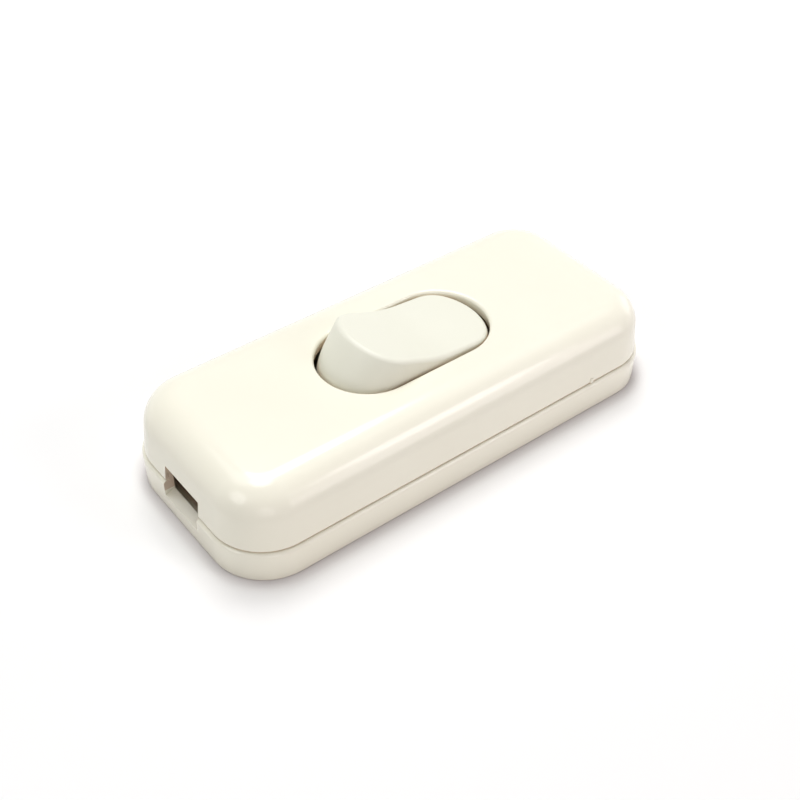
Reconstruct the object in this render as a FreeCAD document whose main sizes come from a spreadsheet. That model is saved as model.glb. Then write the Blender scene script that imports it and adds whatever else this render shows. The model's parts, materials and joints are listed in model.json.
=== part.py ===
import FreeCAD, Part
import Sketcher
import math
import os

# Inline cord switch with a rocking key, all sizes in millimetres and degrees.
# The long axis is X, the housing stands on Z = 0, and the origin is the middle of its underside.

# Driving dimensions: name, value and what it measures
driving_dimensions = [
    ("case_length", "62", "housing, overall length"),
    ("case_width", "27.15", "housing, overall width"),
    ("case_top", "11.75", "height of the flat top"),
    ("corner_radius", "6.95", "housing corners, seen from above"),
    ("parting_height", "4.6", "top of the lower housing's outer wall"),
    ("groove_gap", "0.18", "shadow gap between the two shells"),
    ("upper_inset", "0.12", "step from the lower housing in to the upper one"),
    ("upper_draft", "6", "lean of the upper walls"),
    ("top_rounding", "4.15", "rounding between the upper walls and the top"),
    ("upper_edge", "0.15", "rounding of the upper housing's lower edge"),
    ("upper_wall", "1.3", "upper housing, wall"),
    ("roof", "1.5", "upper housing, thickness of the top"),
    ("lower_draft", "1.2", "lean of the lower walls"),
    ("bottom_rounding", "0.2", "rounding round the underside"),
    ("ledge_rounding", "0.5", "rounding of the ledge at the parting line"),
    ("lower_wall", "1.3", "lower housing, wall"),
    ("floor", "1.2", "lower housing, thickness of the floor"),
    ("lip_height", "1.1", "rise of the locating lip over the ledge"),
    ("lip_inset", "0.75", "locating lip, distance in from the outer wall"),
    ("lip_clearance", "0.05", "play between the lip and the upper wall"),
    ("slot_width", "7", "cord slot, width"),
    ("slot_bottom", "2.1", "cord slot, height of its lower edge"),
    ("slot_top", "6.42", "cord slot, height of its upper edge"),
    ("nib_place", "19.2", "gate nib, distance from the middle"),
    ("nib_width", "0.36", "gate nib, width"),
    ("nib_height", "0.6", "gate nib, height"),
    ("nib_rise", "0.09", "gate nib, stand over the wall"),
    ("nib_root", "0.45", "gate nib, depth into the wall"),
    ("opening_overlap", "0.32", "rocker skirt, length more than the opening's"),
    ("opening_play", "0.47", "rocker opening, width more than the rocker's"),
    ("opening_draft", "6", "rocker opening, flare towards the inside"),
    ("opening_edge", "0.2", "rounding of the opening's rim"),
    ("pivot_depth", "5.35", "rocker's axis, depth under the flat top"),
    ("rocker_tilt", "13", "rocker, lean to each side"),
    ("rocker_length", "23.2", "rocker, length of its upright skirt"),
    ("rocker_width", "11.96", "rocker, width of its upright skirt"),
    ("rocker_skirt_rise", "0.4", "rocker, skirt's lower edge over the axis"),
    ("rocker_waist_rise", "2.7", "rocker, level over the axis where the leaning walls start"),
    ("end_flatness", "0.07", "rocker skirt, end curve over half the width"),
    ("end_corner_step", "0.38", "rocker skirt, corner curve under half the width"),
    ("crown_end_step", "4.84", "rocker crown, length less than the skirt's"),
    ("crown_side_step", "0.8", "rocker crown, width less than the skirt's"),
    ("crown_margin", "1.92", "rocker, level of the crown over the middle of the finger dish"),
    ("crown_end_radius", "7.4", "rocker crown, curve of the ends"),
    ("crown_end_corner", "3.4", "rocker crown, curve from the ends to the sides"),
    ("rocker_dip_rise", "6.08", "rocker, middle of the finger dish over the axis"),
    ("dish_angle", "8.7", "finger dish, lean of each half"),
    ("dish_blend", "14", "finger dish, radius between its halves"),
    ("rocker_edge", "0.5", "rocker, rounding of the upper rim"),
    ("rocker_wall", "1.2", "rocker, wall"),
    ("dish_roof", "1.38", "rocker, thickness under the middle of the finger dish"),
    ("tongue_length", "4", "trunnion tongues, along the housing"),
    ("tongue_drop", "1.7", "trunnion tongues, lower edge under the axis"),
    ("tongue_edge", "1.3", "trunnion tongues, rounding of the lower corners"),
    ("trunnion_radius", "1.2", "rocker trunnions"),
    ("trunnion_set_back", "0.5", "trunnion ends, distance in from the cheeks' outer face"),
    ("running_clearance", "0.05", "play of pins, plungers and screws in their holes"),
    ("cheek_set_back", "0.385", "bearing cheeks, distance from the opening's edge"),
    ("cheek_thickness", "1.8", "bearing cheeks, thickness"),
    ("cheek_length", "5.2", "bearing cheeks, along the housing"),
    ("cheek_drop", "1.4", "bearing cheeks, lower edge under the axis"),
    ("post_play", "0.15", "play of the support posts between the cheeks' legs"),
    ("boss_radius", "2.3", "rocker, plunger boss"),
    ("boss_drop", "0.6", "rocker, plunger boss under the axis"),
    ("bore_roof", "0.2", "plunger bore, blind end under the hollow's ceiling"),
    ("web_thickness", "1", "rocker, web beside the boss"),
    ("web_rise", "0.6", "rocker, web's lower edge over the axis"),
    ("plunger_radius", "1.5", "plunger, guide"),
    ("plunger_shoulder", "1.6", "plunger, spring shoulder over the axis"),
    ("nose_length", "0.6", "plunger, straight part of the nose"),
    ("nose_radius", "0.9", "plunger, round nose"),
    ("nose_gap", "0.05", "air left between the plunger and the see-saw"),
    ("stub_radius", "0.75", "plunger, spring stub"),
    ("stub_rise", "0.8", "plunger, spring stub's length"),
    ("spring_radius", "1.15", "spring, middle of the wire"),
    ("spring_wire", "0.18", "spring, radius of the wire"),
    ("spring_turns", "4", "spring, turns"),
    ("spring_play", "0.02", "spring, play at each end"),
    ("bridge_rise", "1.8", "see-saw, axis over the strips"),
    ("bridge_tilt", "7", "see-saw, lean to each side"),
    ("blade_thickness", "0.5", "see-saw, thickness"),
    ("blade_width", "4", "see-saw, width"),
    ("rest_arm", "6", "see-saw, arm on the resting side"),
    ("contact_arm", "5.2", "see-saw, contact's distance from the axis"),
    ("contact_margin", "1.6", "see-saw, blade past the contact's middle"),
    ("contact_radius", "1.4", "contacts, radius"),
    ("contact_stand", "0.4", "moving contact, stand under the blade"),
    ("dome_radius", "4", "contacts, curve of the dome"),
    ("contact_gap", "0.05", "air left where the see-saw comes to rest"),
    ("lug_radius", "0.5", "see-saw lugs"),
    ("lug_reach", "3.2", "see-saw lugs, ends from the middle"),
    ("lug_root", "0.2", "see-saw lugs, depth into the blade's edge"),
    ("ear_gap", "0.3", "play between the see-saw and the ears"),
    ("ear_length", "2.4", "ears, along the housing"),
    ("strip_thickness", "0.5", "brass strips"),
    ("strip_overhang", "1.2", "line-in strip, reach past the see-saw's axis"),
    ("rest_tab_length", "1.2", "rest tab under the see-saw"),
    ("rest_tab_width", "3", "rest tab, width"),
    ("out_strip_width", "4", "line-out strip, width"),
    ("out_strip_end", "3.4", "line-out strip, inner end from the middle"),
    ("strip_elbow", "2.5", "strips, width of the bend beside the pillars"),
    ("pillar_gap", "1.9", "pillars, distance from the rocker's end"),
    ("pillar_size", "5", "pillars, length and width"),
    ("pillar_top", "7", "height of the pillars' upper face"),
    ("pillar_edge", "0.4", "pillars, rounding of the upright edges"),
    ("live_place", "5.5", "live pillars, distance from the middle line"),
    ("neutral_place", "6.5", "neutral pillars, distance from the middle line"),
    ("neutral_gap", "0.7", "neutral strip, distance from the cheeks"),
    ("neutral_wall_gap", "0.775", "neutral strip, distance from the lower wall"),
    ("wire_bore", "1.3", "pillars, radius of the wire hole"),
    ("wire_height", "4.3", "pillars, height of the wire hole"),
    ("terminal_shank", "1", "terminal screws, radius of the shank"),
    ("terminal_head", "1.7", "terminal screws, radius of the head"),
    ("terminal_head_height", "1.2", "terminal screws, height of the head"),
    ("terminal_open", "0.6", "terminal screws, head over the pillar"),
    ("terminal_tip", "5.2", "terminal screws, height of the tip"),
    ("stop_width", "1.6", "rocker stops, across the housing"),
    ("stop_side_step", "1.08", "rocker stops, outer face in from the rocker's side"),
    ("stop_length", "1.8", "rocker stops, along the housing"),
    ("stop_end_step", "1.2", "rocker stops, outer end in from the rocker's end"),
    ("stop_gap", "0.09", "air left between the pressed rocker and its stops"),
    ("barrier_set_back", "0.5", "barriers between the pillars, inner end past the pillars' face"),
    ("barrier_overhang", "1", "barriers between the pillars, outer end past the pillars"),
    ("barrier_thickness", "1", "barriers, thickness"),
    ("barrier_top", "6.6", "height of the barriers"),
    ("clamp_inset", "5.4", "cord clamps, distance in from the housing's end"),
    ("clamp_width", "3.4", "cord clamps, along the housing"),
    ("clamp_overhang", "1.8", "cord clamps, ends past the screws"),
    ("clamp_end", "1.35", "cord clamps, rounding of the ends"),
    ("clamp_headroom", "4.05", "clamp posts, depth under the ceiling"),
    ("clamp_thickness", "2", "cord clamps, thickness"),
    ("clamp_ridge", "0.6", "cord clamps, drop of the gripping ridge"),
    ("clamp_ridge_play", "0.3", "cord clamps, ridge in from the slot's side"),
    ("clamp_post_gap", "0.2", "clamp posts, distance from the cord slot"),
    ("clamp_post_radius", "1.5", "clamp posts"),
    ("clamp_shank", "0.8", "clamp screws, radius of the shank"),
    ("clamp_head", "1.4", "clamp screws, radius of the head"),
    ("clamp_head_height", "1", "clamp screws, height of the head"),
    ("clamp_screw_depth", "3.4", "clamp screws, depth into the posts"),
    ("saddle_width", "1.4", "cord saddles, along the housing"),
    ("fixing_gap", "0.5", "screw bosses, distance from the pillars"),
    ("fixing_wall", "4.275", "housing screws, distance in from the outer wall"),
    ("fixing_boss_upper", "2.2", "screw bosses of the upper housing, radius"),
    ("fixing_boss_lower", "3.3", "screw bosses of the lower housing, radius"),
    ("fixing_meet", "4.3", "height where the screw bosses meet"),
    ("fixing_shank", "1", "housing screws, radius of the shank"),
    ("fixing_head", "2.1", "housing screws, radius of the head"),
    ("fixing_head_height", "1.3", "housing screws, height of the head"),
    ("fixing_sink", "0.4", "housing screws, head above the underside"),
    ("fixing_length", "7.2", "housing screws, length under the head"),
    ("fixing_hole_spare", "0.4", "housing screws, hole past the tip"),
    ("fixing_head_play", "0.3", "housing screws, play round the head"),
    ("recess_width", "0.5", "screw heads, width of the cross recess"),
    ("recess_depth", "0.6", "screw heads, depth of the cross recess"),
    ("recess_share", "0.6", "screw heads, reach of the cross recess as a share of the head's radius"),
]


class Size:
    # A size from the sheet, or one worked out from others: its expression and its value now

    def __init__(self, text, value):
        self.text = text
        self.value = value

    def __add__(self, other):
        return joined(self, "+", other, self.value + number(other))

    def __sub__(self, other):
        return joined(self, "-", other, self.value - number(other))

    def __rsub__(self, other):
        return joined(other, "-", self, number(other) - self.value)

    def __mul__(self, other):
        return joined(self, "*", other, self.value * number(other))

    def __truediv__(self, other):
        return joined(self, "/", other, self.value / number(other))

    def __neg__(self):
        return Size("(-1 * %s)" % self.text, -self.value)


def number(size):
    return size.value if isinstance(size, Size) else size


def text(size):
    return size.text if isinstance(size, Size) else repr(size)


def joined(first, sign, second, value):
    return Size("(%s %s %s)" % (text(first), sign, text(second)), value)


def sine(angle):
    return Size("sin(%s)" % angle.text, math.sin(math.radians(angle.value)))


def cosine(angle):
    return Size("cos(%s)" % angle.text, math.cos(math.radians(angle.value)))


def tangent(angle):
    return Size("tan(%s)" % angle.text, math.tan(math.radians(angle.value)))


def root(size):
    return Size("sqrt(%s)" % size.text, math.sqrt(size.value))


doc = FreeCAD.newDocument("inline_cord_switch")
sheet = doc.addObject("Spreadsheet::Sheet", "dims")
for row, (alias, value, note) in enumerate(driving_dimensions, start=1):
    sheet.set("A%d" % row, note)
    sheet.set("B%d" % row, value)
    sheet.setAlias("B%d" % row, alias)
doc.recompute()
dim = {alias: Size("dims." + alias, float(sheet.get(alias))) for alias, value, note in driving_dimensions}

# Sizes that follow from others
half_length = dim["case_length"] / 2
half_width = dim["case_width"] / 2
ceiling = dim["case_top"] - dim["roof"]
strip_top = dim["floor"] + dim["strip_thickness"]
rocker_half_length = dim["rocker_length"] / 2
rocker_half_width = dim["rocker_width"] / 2
dim["opening_length"] = dim["rocker_length"] - dim["opening_overlap"]
dim["opening_width"] = dim["rocker_width"] + dim["opening_play"]
dim["pivot_height"] = dim["case_top"] - dim["pivot_depth"]
dim["rocker_end_radius"] = rocker_half_width + dim["end_flatness"]
dim["rocker_end_corner"] = rocker_half_width - dim["end_corner_step"]
dim["crown_rise"] = dim["rocker_dip_rise"] + dim["crown_margin"]
dim["rocker_ceiling"] = dim["rocker_dip_rise"] - dim["dish_roof"]
dim["bore_top"] = dim["rocker_ceiling"] - dim["bore_roof"]
dim["crown_length"] = dim["rocker_length"] - dim["crown_end_step"]
dim["crown_width"] = dim["rocker_width"] - dim["crown_side_step"]
dim["cheek_near"] = dim["opening_width"] / 2 + dim["cheek_set_back"]
dim["cheek_far"] = dim["cheek_near"] + dim["cheek_thickness"]
dim["cheek_bottom"] = dim["pivot_height"] - dim["cheek_drop"]
dim["trunnion_reach"] = dim["cheek_far"] - dim["trunnion_set_back"]
dim["bridge_height"] = strip_top + dim["bridge_rise"]
blade_under = dim["blade_thickness"] / 2
blade_top = dim["bridge_height"] + blade_under
dim["nose_centre"] = dim["pivot_height"] - blade_top - dim["nose_gap"] - dim["nose_radius"]
dim["plunger_neck"] = dim["nose_centre"] - dim["nose_length"]
dim["stop_outer_end"] = rocker_half_length - dim["stop_end_step"]
dim["stop_inner_end"] = dim["stop_outer_end"] - dim["stop_length"]
dim["stop_far"] = rocker_half_width - dim["stop_side_step"]
dim["stop_near"] = dim["stop_far"] - dim["stop_width"]
skirt_lift = dim["rocker_skirt_rise"] * cosine(dim["rocker_tilt"])
skirt_shift = dim["rocker_skirt_rise"] * sine(dim["rocker_tilt"])
skirt_fall = (dim["stop_outer_end"] - skirt_shift) * tangent(dim["rocker_tilt"])
dim["stop_top"] = dim["pivot_height"] + skirt_lift - skirt_fall - dim["stop_gap"]
pillar_near = rocker_half_length + dim["pillar_gap"]
pillar_far = pillar_near + dim["pillar_size"]
dim["pillar_place"] = pillar_near + dim["pillar_size"] / 2
dim["barrier_start"] = pillar_near + dim["barrier_set_back"]
dim["barrier_end"] = pillar_far + dim["barrier_overhang"]
dim["neutral_run_near"] = dim["cheek_far"] + dim["neutral_gap"]
dim["neutral_run_far"] = half_width - dim["lower_wall"] - dim["neutral_wall_gap"]
dim["clamp_place"] = half_length - dim["clamp_inset"]
dim["clamp_seat"] = ceiling - dim["clamp_headroom"]
dim["clamp_screw_place"] = dim["slot_width"] / 2 + dim["clamp_post_radius"] + dim["clamp_post_gap"]
dim["clamp_reach"] = dim["clamp_screw_place"] + dim["clamp_overhang"]
dim["clamp_ridge_half"] = dim["slot_width"] / 2 - dim["clamp_ridge_play"]
dim["fixing_place_x"] = pillar_far + dim["fixing_gap"] + dim["fixing_boss_lower"]
dim["fixing_place_y"] = half_width - dim["fixing_wall"]


# Sketch helpers: every position and radius is tied to the sheet

def new_body(label):
    body = doc.addObject("PartDesign::Body", label)
    body.Label = label
    return body


def new_sketch(body, name, plane, offset=0):
    drawing = body.newObject("Sketcher::SketchObject", name)
    support = [feature for feature in body.Origin.OriginFeatures if feature.Role == plane][0]
    drawing.AttachmentSupport = [(support, "")]
    drawing.MapMode = "FlatFace"
    if number(offset) != 0:
        drawing.setExpression("AttachmentOffset.Base.z", text(offset))
    return drawing


def vector(x, y):
    return FreeCAD.Vector(number(x), number(y), 0)


def hold(drawing, kind, geometry, point, size):
    if number(size) == 0:
        axis = -2 if kind == "DistanceX" else -1
        drawing.addConstraint(Sketcher.Constraint("PointOnObject", geometry, point, axis))
        return
    index = drawing.addConstraint(Sketcher.Constraint(kind, -1, 1, geometry, point, number(size)))
    drawing.setExpression("Constraints[%d]" % index, text(size))


def place(drawing, geometry, point, x, y):
    hold(drawing, "DistanceX", geometry, point, x)
    hold(drawing, "DistanceY", geometry, point, y)


def set_radius(drawing, geometry, radius):
    index = drawing.addConstraint(Sketcher.Constraint("Radius", geometry, number(radius)))
    drawing.setExpression("Constraints[%d]" % index, text(radius))


def polygon(drawing, points):
    first = drawing.GeometryCount
    count = len(points)
    for index, start in enumerate(points):
        end = points[(index + 1) % count]
        drawing.addGeometry(Part.LineSegment(vector(*start), vector(*end)), False)
    for index, start in enumerate(points):
        following = first + (index + 1) % count
        drawing.addConstraint(Sketcher.Constraint("Coincident", first + index, 2, following, 1))
        place(drawing, first + index, 1, *start)


def open_chain(drawing, corners):
    # straight lines through the corners, left open for a curve that closes the outline
    lines = []
    for start, end in zip(corners, corners[1:]):
        lines.append(drawing.addGeometry(Part.LineSegment(vector(*start), vector(*end)), False))
    for index, line in enumerate(lines):
        place(drawing, line, 1, *corners[index])
        if index > 0:
            drawing.addConstraint(Sketcher.Constraint("Coincident", lines[index - 1], 2, line, 1))
    place(drawing, lines[-1], 2, *corners[-1])
    return lines


def rectangle(drawing, x_low, x_high, y_low, y_high):
    polygon(drawing, [(x_low, y_low), (x_high, y_low), (x_high, y_high), (x_low, y_high)])


def circle(drawing, x, y, radius):
    shape = Part.Circle(vector(x, y), FreeCAD.Vector(0, 0, 1), number(radius))
    geometry = drawing.addGeometry(shape, False)
    place(drawing, geometry, 3, x, y)
    set_radius(drawing, geometry, radius)


def arc(drawing, x, y, radius, start, end):
    shape = Part.Circle(vector(x, y), FreeCAD.Vector(0, 0, 1), number(radius))
    return drawing.addGeometry(Part.ArcOfCircle(shape, math.radians(start), math.radians(end)), False)


def join_smoothly(drawing, loop):
    for index, geometry in enumerate(loop):
        following = loop[(index + 1) % len(loop)]
        drawing.addConstraint(Sketcher.Constraint("Tangent", geometry, 2, following, 1))


def rounded_rectangle(drawing, half_length, half_width, radius):
    # four corner arcs, counter-clockwise from the corner at +X +Y, joined by straight sides
    along = half_length - radius
    across = half_width - radius
    centres = [(along, across), (-along, across), (-along, -across), (along, -across)]
    starts = [0, 90, 180, 270]
    arcs = [arc(drawing, x, y, radius, start, start + 90) for (x, y), start in zip(centres, starts)]
    sides = []
    for x_from, y_from, x_to, y_to in [
        (along, half_width, -along, half_width),
        (-half_length, across, -half_length, -across),
        (-along, -half_width, along, -half_width),
        (half_length, -across, half_length, across),
    ]:
        side = Part.LineSegment(vector(x_from, y_from), vector(x_to, y_to))
        sides.append(drawing.addGeometry(side, False))
    join_smoothly(drawing, [piece for pair in zip(arcs, sides) for piece in pair])
    for geometry, (x, y) in zip(arcs, centres):
        place(drawing, geometry, 3, x, y)
    set_radius(drawing, arcs[0], radius)
    for geometry in arcs[1:]:
        drawing.addConstraint(Sketcher.Constraint("Equal", arcs[0], geometry))


def stadium(drawing, half_length, half_width):
    # two half-round ends joined by straight sides
    along = half_length - half_width
    right = arc(drawing, along, 0, half_width, -90, 90)
    upper_line = Part.LineSegment(vector(along, half_width), vector(-along, half_width))
    upper = drawing.addGeometry(upper_line, False)
    left = arc(drawing, -along, 0, half_width, 90, 270)
    lower_line = Part.LineSegment(vector(-along, -half_width), vector(along, -half_width))
    lower = drawing.addGeometry(lower_line, False)
    join_smoothly(drawing, [right, upper, left, lower])
    place(drawing, right, 3, along, 0)
    place(drawing, left, 3, -along, 0)
    set_radius(drawing, right, half_width)
    drawing.addConstraint(Sketcher.Constraint("Equal", right, left))


def rounded_end_outline(drawing, half_length, half_width, end_radius, corner):
    # straight sides and shallow round ends, joined by tighter corner arcs
    across = half_width - corner
    end_x = half_length - end_radius
    inward = root((end_radius - corner) * (end_radius - corner) - across * across)
    along = end_x + inward
    bend = math.degrees(math.atan2(across.value, inward.value))
    right_end = arc(drawing, end_x, 0, end_radius, -bend, bend)
    right_upper = arc(drawing, along, across, corner, bend, 90)
    upper_line = Part.LineSegment(vector(along, half_width), vector(-along, half_width))
    upper = drawing.addGeometry(upper_line, False)
    left_upper = arc(drawing, -along, across, corner, 90, 180 - bend)
    left_end = arc(drawing, -end_x, 0, end_radius, 180 - bend, 180 + bend)
    left_lower = arc(drawing, -along, -across, corner, 180 + bend, 270)
    lower_line = Part.LineSegment(vector(-along, -half_width), vector(along, -half_width))
    lower = drawing.addGeometry(lower_line, False)
    right_lower = arc(drawing, along, -across, corner, 270, 360 - bend)
    join_smoothly(drawing, [right_end, right_upper, upper, left_upper,
                            left_end, left_lower, lower, right_lower])
    for end, x in ((right_end, end_x), (left_end, -end_x)):
        place(drawing, end, 3, x, 0)
        set_radius(drawing, end, end_radius)
    for turn, y in ((right_upper, across), (left_upper, across),
                    (left_lower, -across), (right_lower, -across)):
        hold(drawing, "DistanceY", turn, 3, y)
        set_radius(drawing, turn, corner)


# Feature helpers

def extruded(body, kind, name, drawing, length, reverse, both_ways, taper):
    feature = body.newObject(kind, name)
    feature.Profile = drawing
    feature.Reversed = reverse
    feature.Midplane = both_ways
    if length is None:
        feature.Type = "ThroughAll"
    else:
        feature.setExpression("Length", text(length))
    if taper is not None:
        feature.setExpression("TaperAngle", text(taper))
    doc.recompute()
    return feature


def pad(body, name, drawing, length, reverse=False, both_ways=False, taper=None):
    return extruded(body, "PartDesign::Pad", name, drawing, length, reverse, both_ways, taper)


def pocket(body, name, drawing, length=None, reverse=False, both_ways=False, taper=None):
    before = body.Shape.Volume
    feature = extruded(body, "PartDesign::Pocket", name, drawing, length, reverse, both_ways, taper)
    if body.Shape.Volume >= before:
        raise RuntimeError("pocket %s of %s cuts nothing" % (name, body.Label))
    return feature


def revolve(body, name, drawing):
    feature = body.newObject("PartDesign::Revolution", name)
    feature.Profile = drawing
    feature.ReferenceAxis = (drawing, ["V_Axis"])
    feature.Angle = 360
    doc.recompute()
    return feature


def rounded(body, name, radius, chosen):
    base = body.Tip
    edges = ["Edge%d" % (index + 1) for index, edge in enumerate(base.Shape.Edges) if chosen(edge)]
    feature = body.newObject("PartDesign::Fillet", name)
    feature.Base = (base, edges)
    feature.setExpression("Radius", text(radius))
    doc.recompute()
    return feature


tolerance = 1e-4


def level_at(height):
    def chosen(edge):
        box = edge.BoundBox
        return abs(box.ZMin - number(height)) < tolerance and abs(box.ZMax - number(height)) < tolerance
    return chosen


def upright(edge):
    box = edge.BoundBox
    return box.ZLength > tolerance and box.XLength < tolerance and box.YLength < tolerance


upper_base = dim["parting_height"] + dim["groove_gap"]
lip_top = dim["parting_height"] + dim["lip_height"]
pin_hole = dim["trunnion_radius"] + dim["running_clearance"]
fixing_places = [(-dim["fixing_place_x"], dim["fixing_place_y"]),
                 (dim["fixing_place_x"], -dim["fixing_place_y"])]
signs = (-1, 1)


def signed(sign, size):
    return size if sign > 0 else -size


def span(sign, near, far):
    # the two ends of a stretch on one side of the middle, lower value first
    return (near, far) if sign > 0 else (-far, -near)


def inset_outline(drawing, inset):
    rounded_rectangle(drawing, half_length - inset, half_width - inset, dim["corner_radius"] - inset)


def slot_section(drawing, low, high):
    rectangle(drawing, -dim["slot_width"] / 2, dim["slot_width"] / 2, low, high)


def build_upper_housing():
    body = new_body("upper_housing")
    drawing = new_sketch(body, "upper_outline", "XY_Plane", upper_base)
    inset_outline(drawing, dim["upper_inset"])
    pad(body, "upper_block", drawing, dim["case_top"] - upper_base, taper=-dim["upper_draft"])
    rounded(body, "upper_rounding", dim["top_rounding"], level_at(dim["case_top"]))
    rounded(body, "upper_lower_edge", dim["upper_edge"], level_at(upper_base))

    drawing = new_sketch(body, "cavity_outline", "XY_Plane", upper_base)
    inset_outline(drawing, dim["upper_inset"] + dim["upper_wall"])
    pocket(body, "upper_cavity", drawing, ceiling - upper_base, reverse=True, taper=-dim["upper_draft"])
    rounded(body, "cavity_rounding", dim["top_rounding"] - dim["upper_wall"], level_at(ceiling))

    drawing = new_sketch(body, "rabbet_outline", "XY_Plane", upper_base)
    inset_outline(drawing, dim["lip_inset"] - dim["lip_clearance"])
    pocket(body, "lip_rabbet", drawing, lip_top - upper_base, reverse=True)

    drawing = new_sketch(body, "upper_slot_section", "YZ_Plane")
    slot_section(drawing, dim["parting_height"], dim["slot_top"])
    pocket(body, "upper_slots", drawing, both_ways=True)

    drawing = new_sketch(body, "opening_outline", "XY_Plane", dim["case_top"])
    stadium(drawing, dim["opening_length"] / 2, dim["opening_width"] / 2)
    pocket(body, "rocker_opening", drawing, dim["roof"], taper=dim["opening_draft"])

    def opening_rim(edge):
        reach = number(dim["opening_width"]) / 2 + tolerance
        return level_at(dim["case_top"])(edge) and edge.BoundBox.YMax < reach

    rounded(body, "opening_rounding", dim["opening_edge"], opening_rim)

    drawing = new_sketch(body, "cheek_outlines", "XY_Plane", ceiling)
    for sign in signs:
        low, high = span(sign, dim["cheek_near"], dim["cheek_far"])
        rectangle(drawing, -dim["cheek_length"] / 2, dim["cheek_length"] / 2, low, high)
    pad(body, "bearing_cheeks", drawing, ceiling - dim["cheek_bottom"], reverse=True)

    # open-bottomed bearings: a round seat and the slot that the trunnion drops in by
    drawing = new_sketch(body, "bearing_seat", "XZ_Plane")
    circle(drawing, 0, dim["pivot_height"], pin_hole)
    pocket(body, "bearing_seats", drawing, dim["cheek_far"] * 2 + pin_hole, both_ways=True)
    drawing = new_sketch(body, "bearing_entry", "XZ_Plane")
    rectangle(drawing, -pin_hole, pin_hole, dim["cheek_bottom"] - pin_hole, dim["pivot_height"])
    pocket(body, "bearing_entries", drawing, dim["cheek_far"] * 2 + pin_hole, both_ways=True)

    drawing = new_sketch(body, "upper_boss_outlines", "XY_Plane", ceiling)
    for x, y in fixing_places:
        circle(drawing, x, y, dim["fixing_boss_upper"])
    pad(body, "upper_bosses", drawing, ceiling - dim["fixing_meet"], reverse=True)
    drawing = new_sketch(body, "pilot_outlines", "XY_Plane", dim["fixing_meet"])
    for x, y in fixing_places:
        circle(drawing, x, y, dim["fixing_shank"] + dim["running_clearance"])
    screw_tip = dim["fixing_sink"] + dim["fixing_head_height"] + dim["fixing_length"]
    pilot_depth = screw_tip + dim["fixing_hole_spare"] - dim["fixing_meet"]
    pocket(body, "pilot_holes", drawing, pilot_depth, reverse=True)

    drawing = new_sketch(body, "nib_outline", "XY_Plane", upper_base)
    wall_face = half_width - dim["upper_inset"]
    nib_half = dim["nib_width"] / 2
    rectangle(drawing, dim["nib_place"] - nib_half, dim["nib_place"] + nib_half,
              -(wall_face + dim["nib_rise"]), -(wall_face - dim["nib_root"]))
    pad(body, "gate_nib", drawing, dim["nib_height"])
    return body


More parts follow.
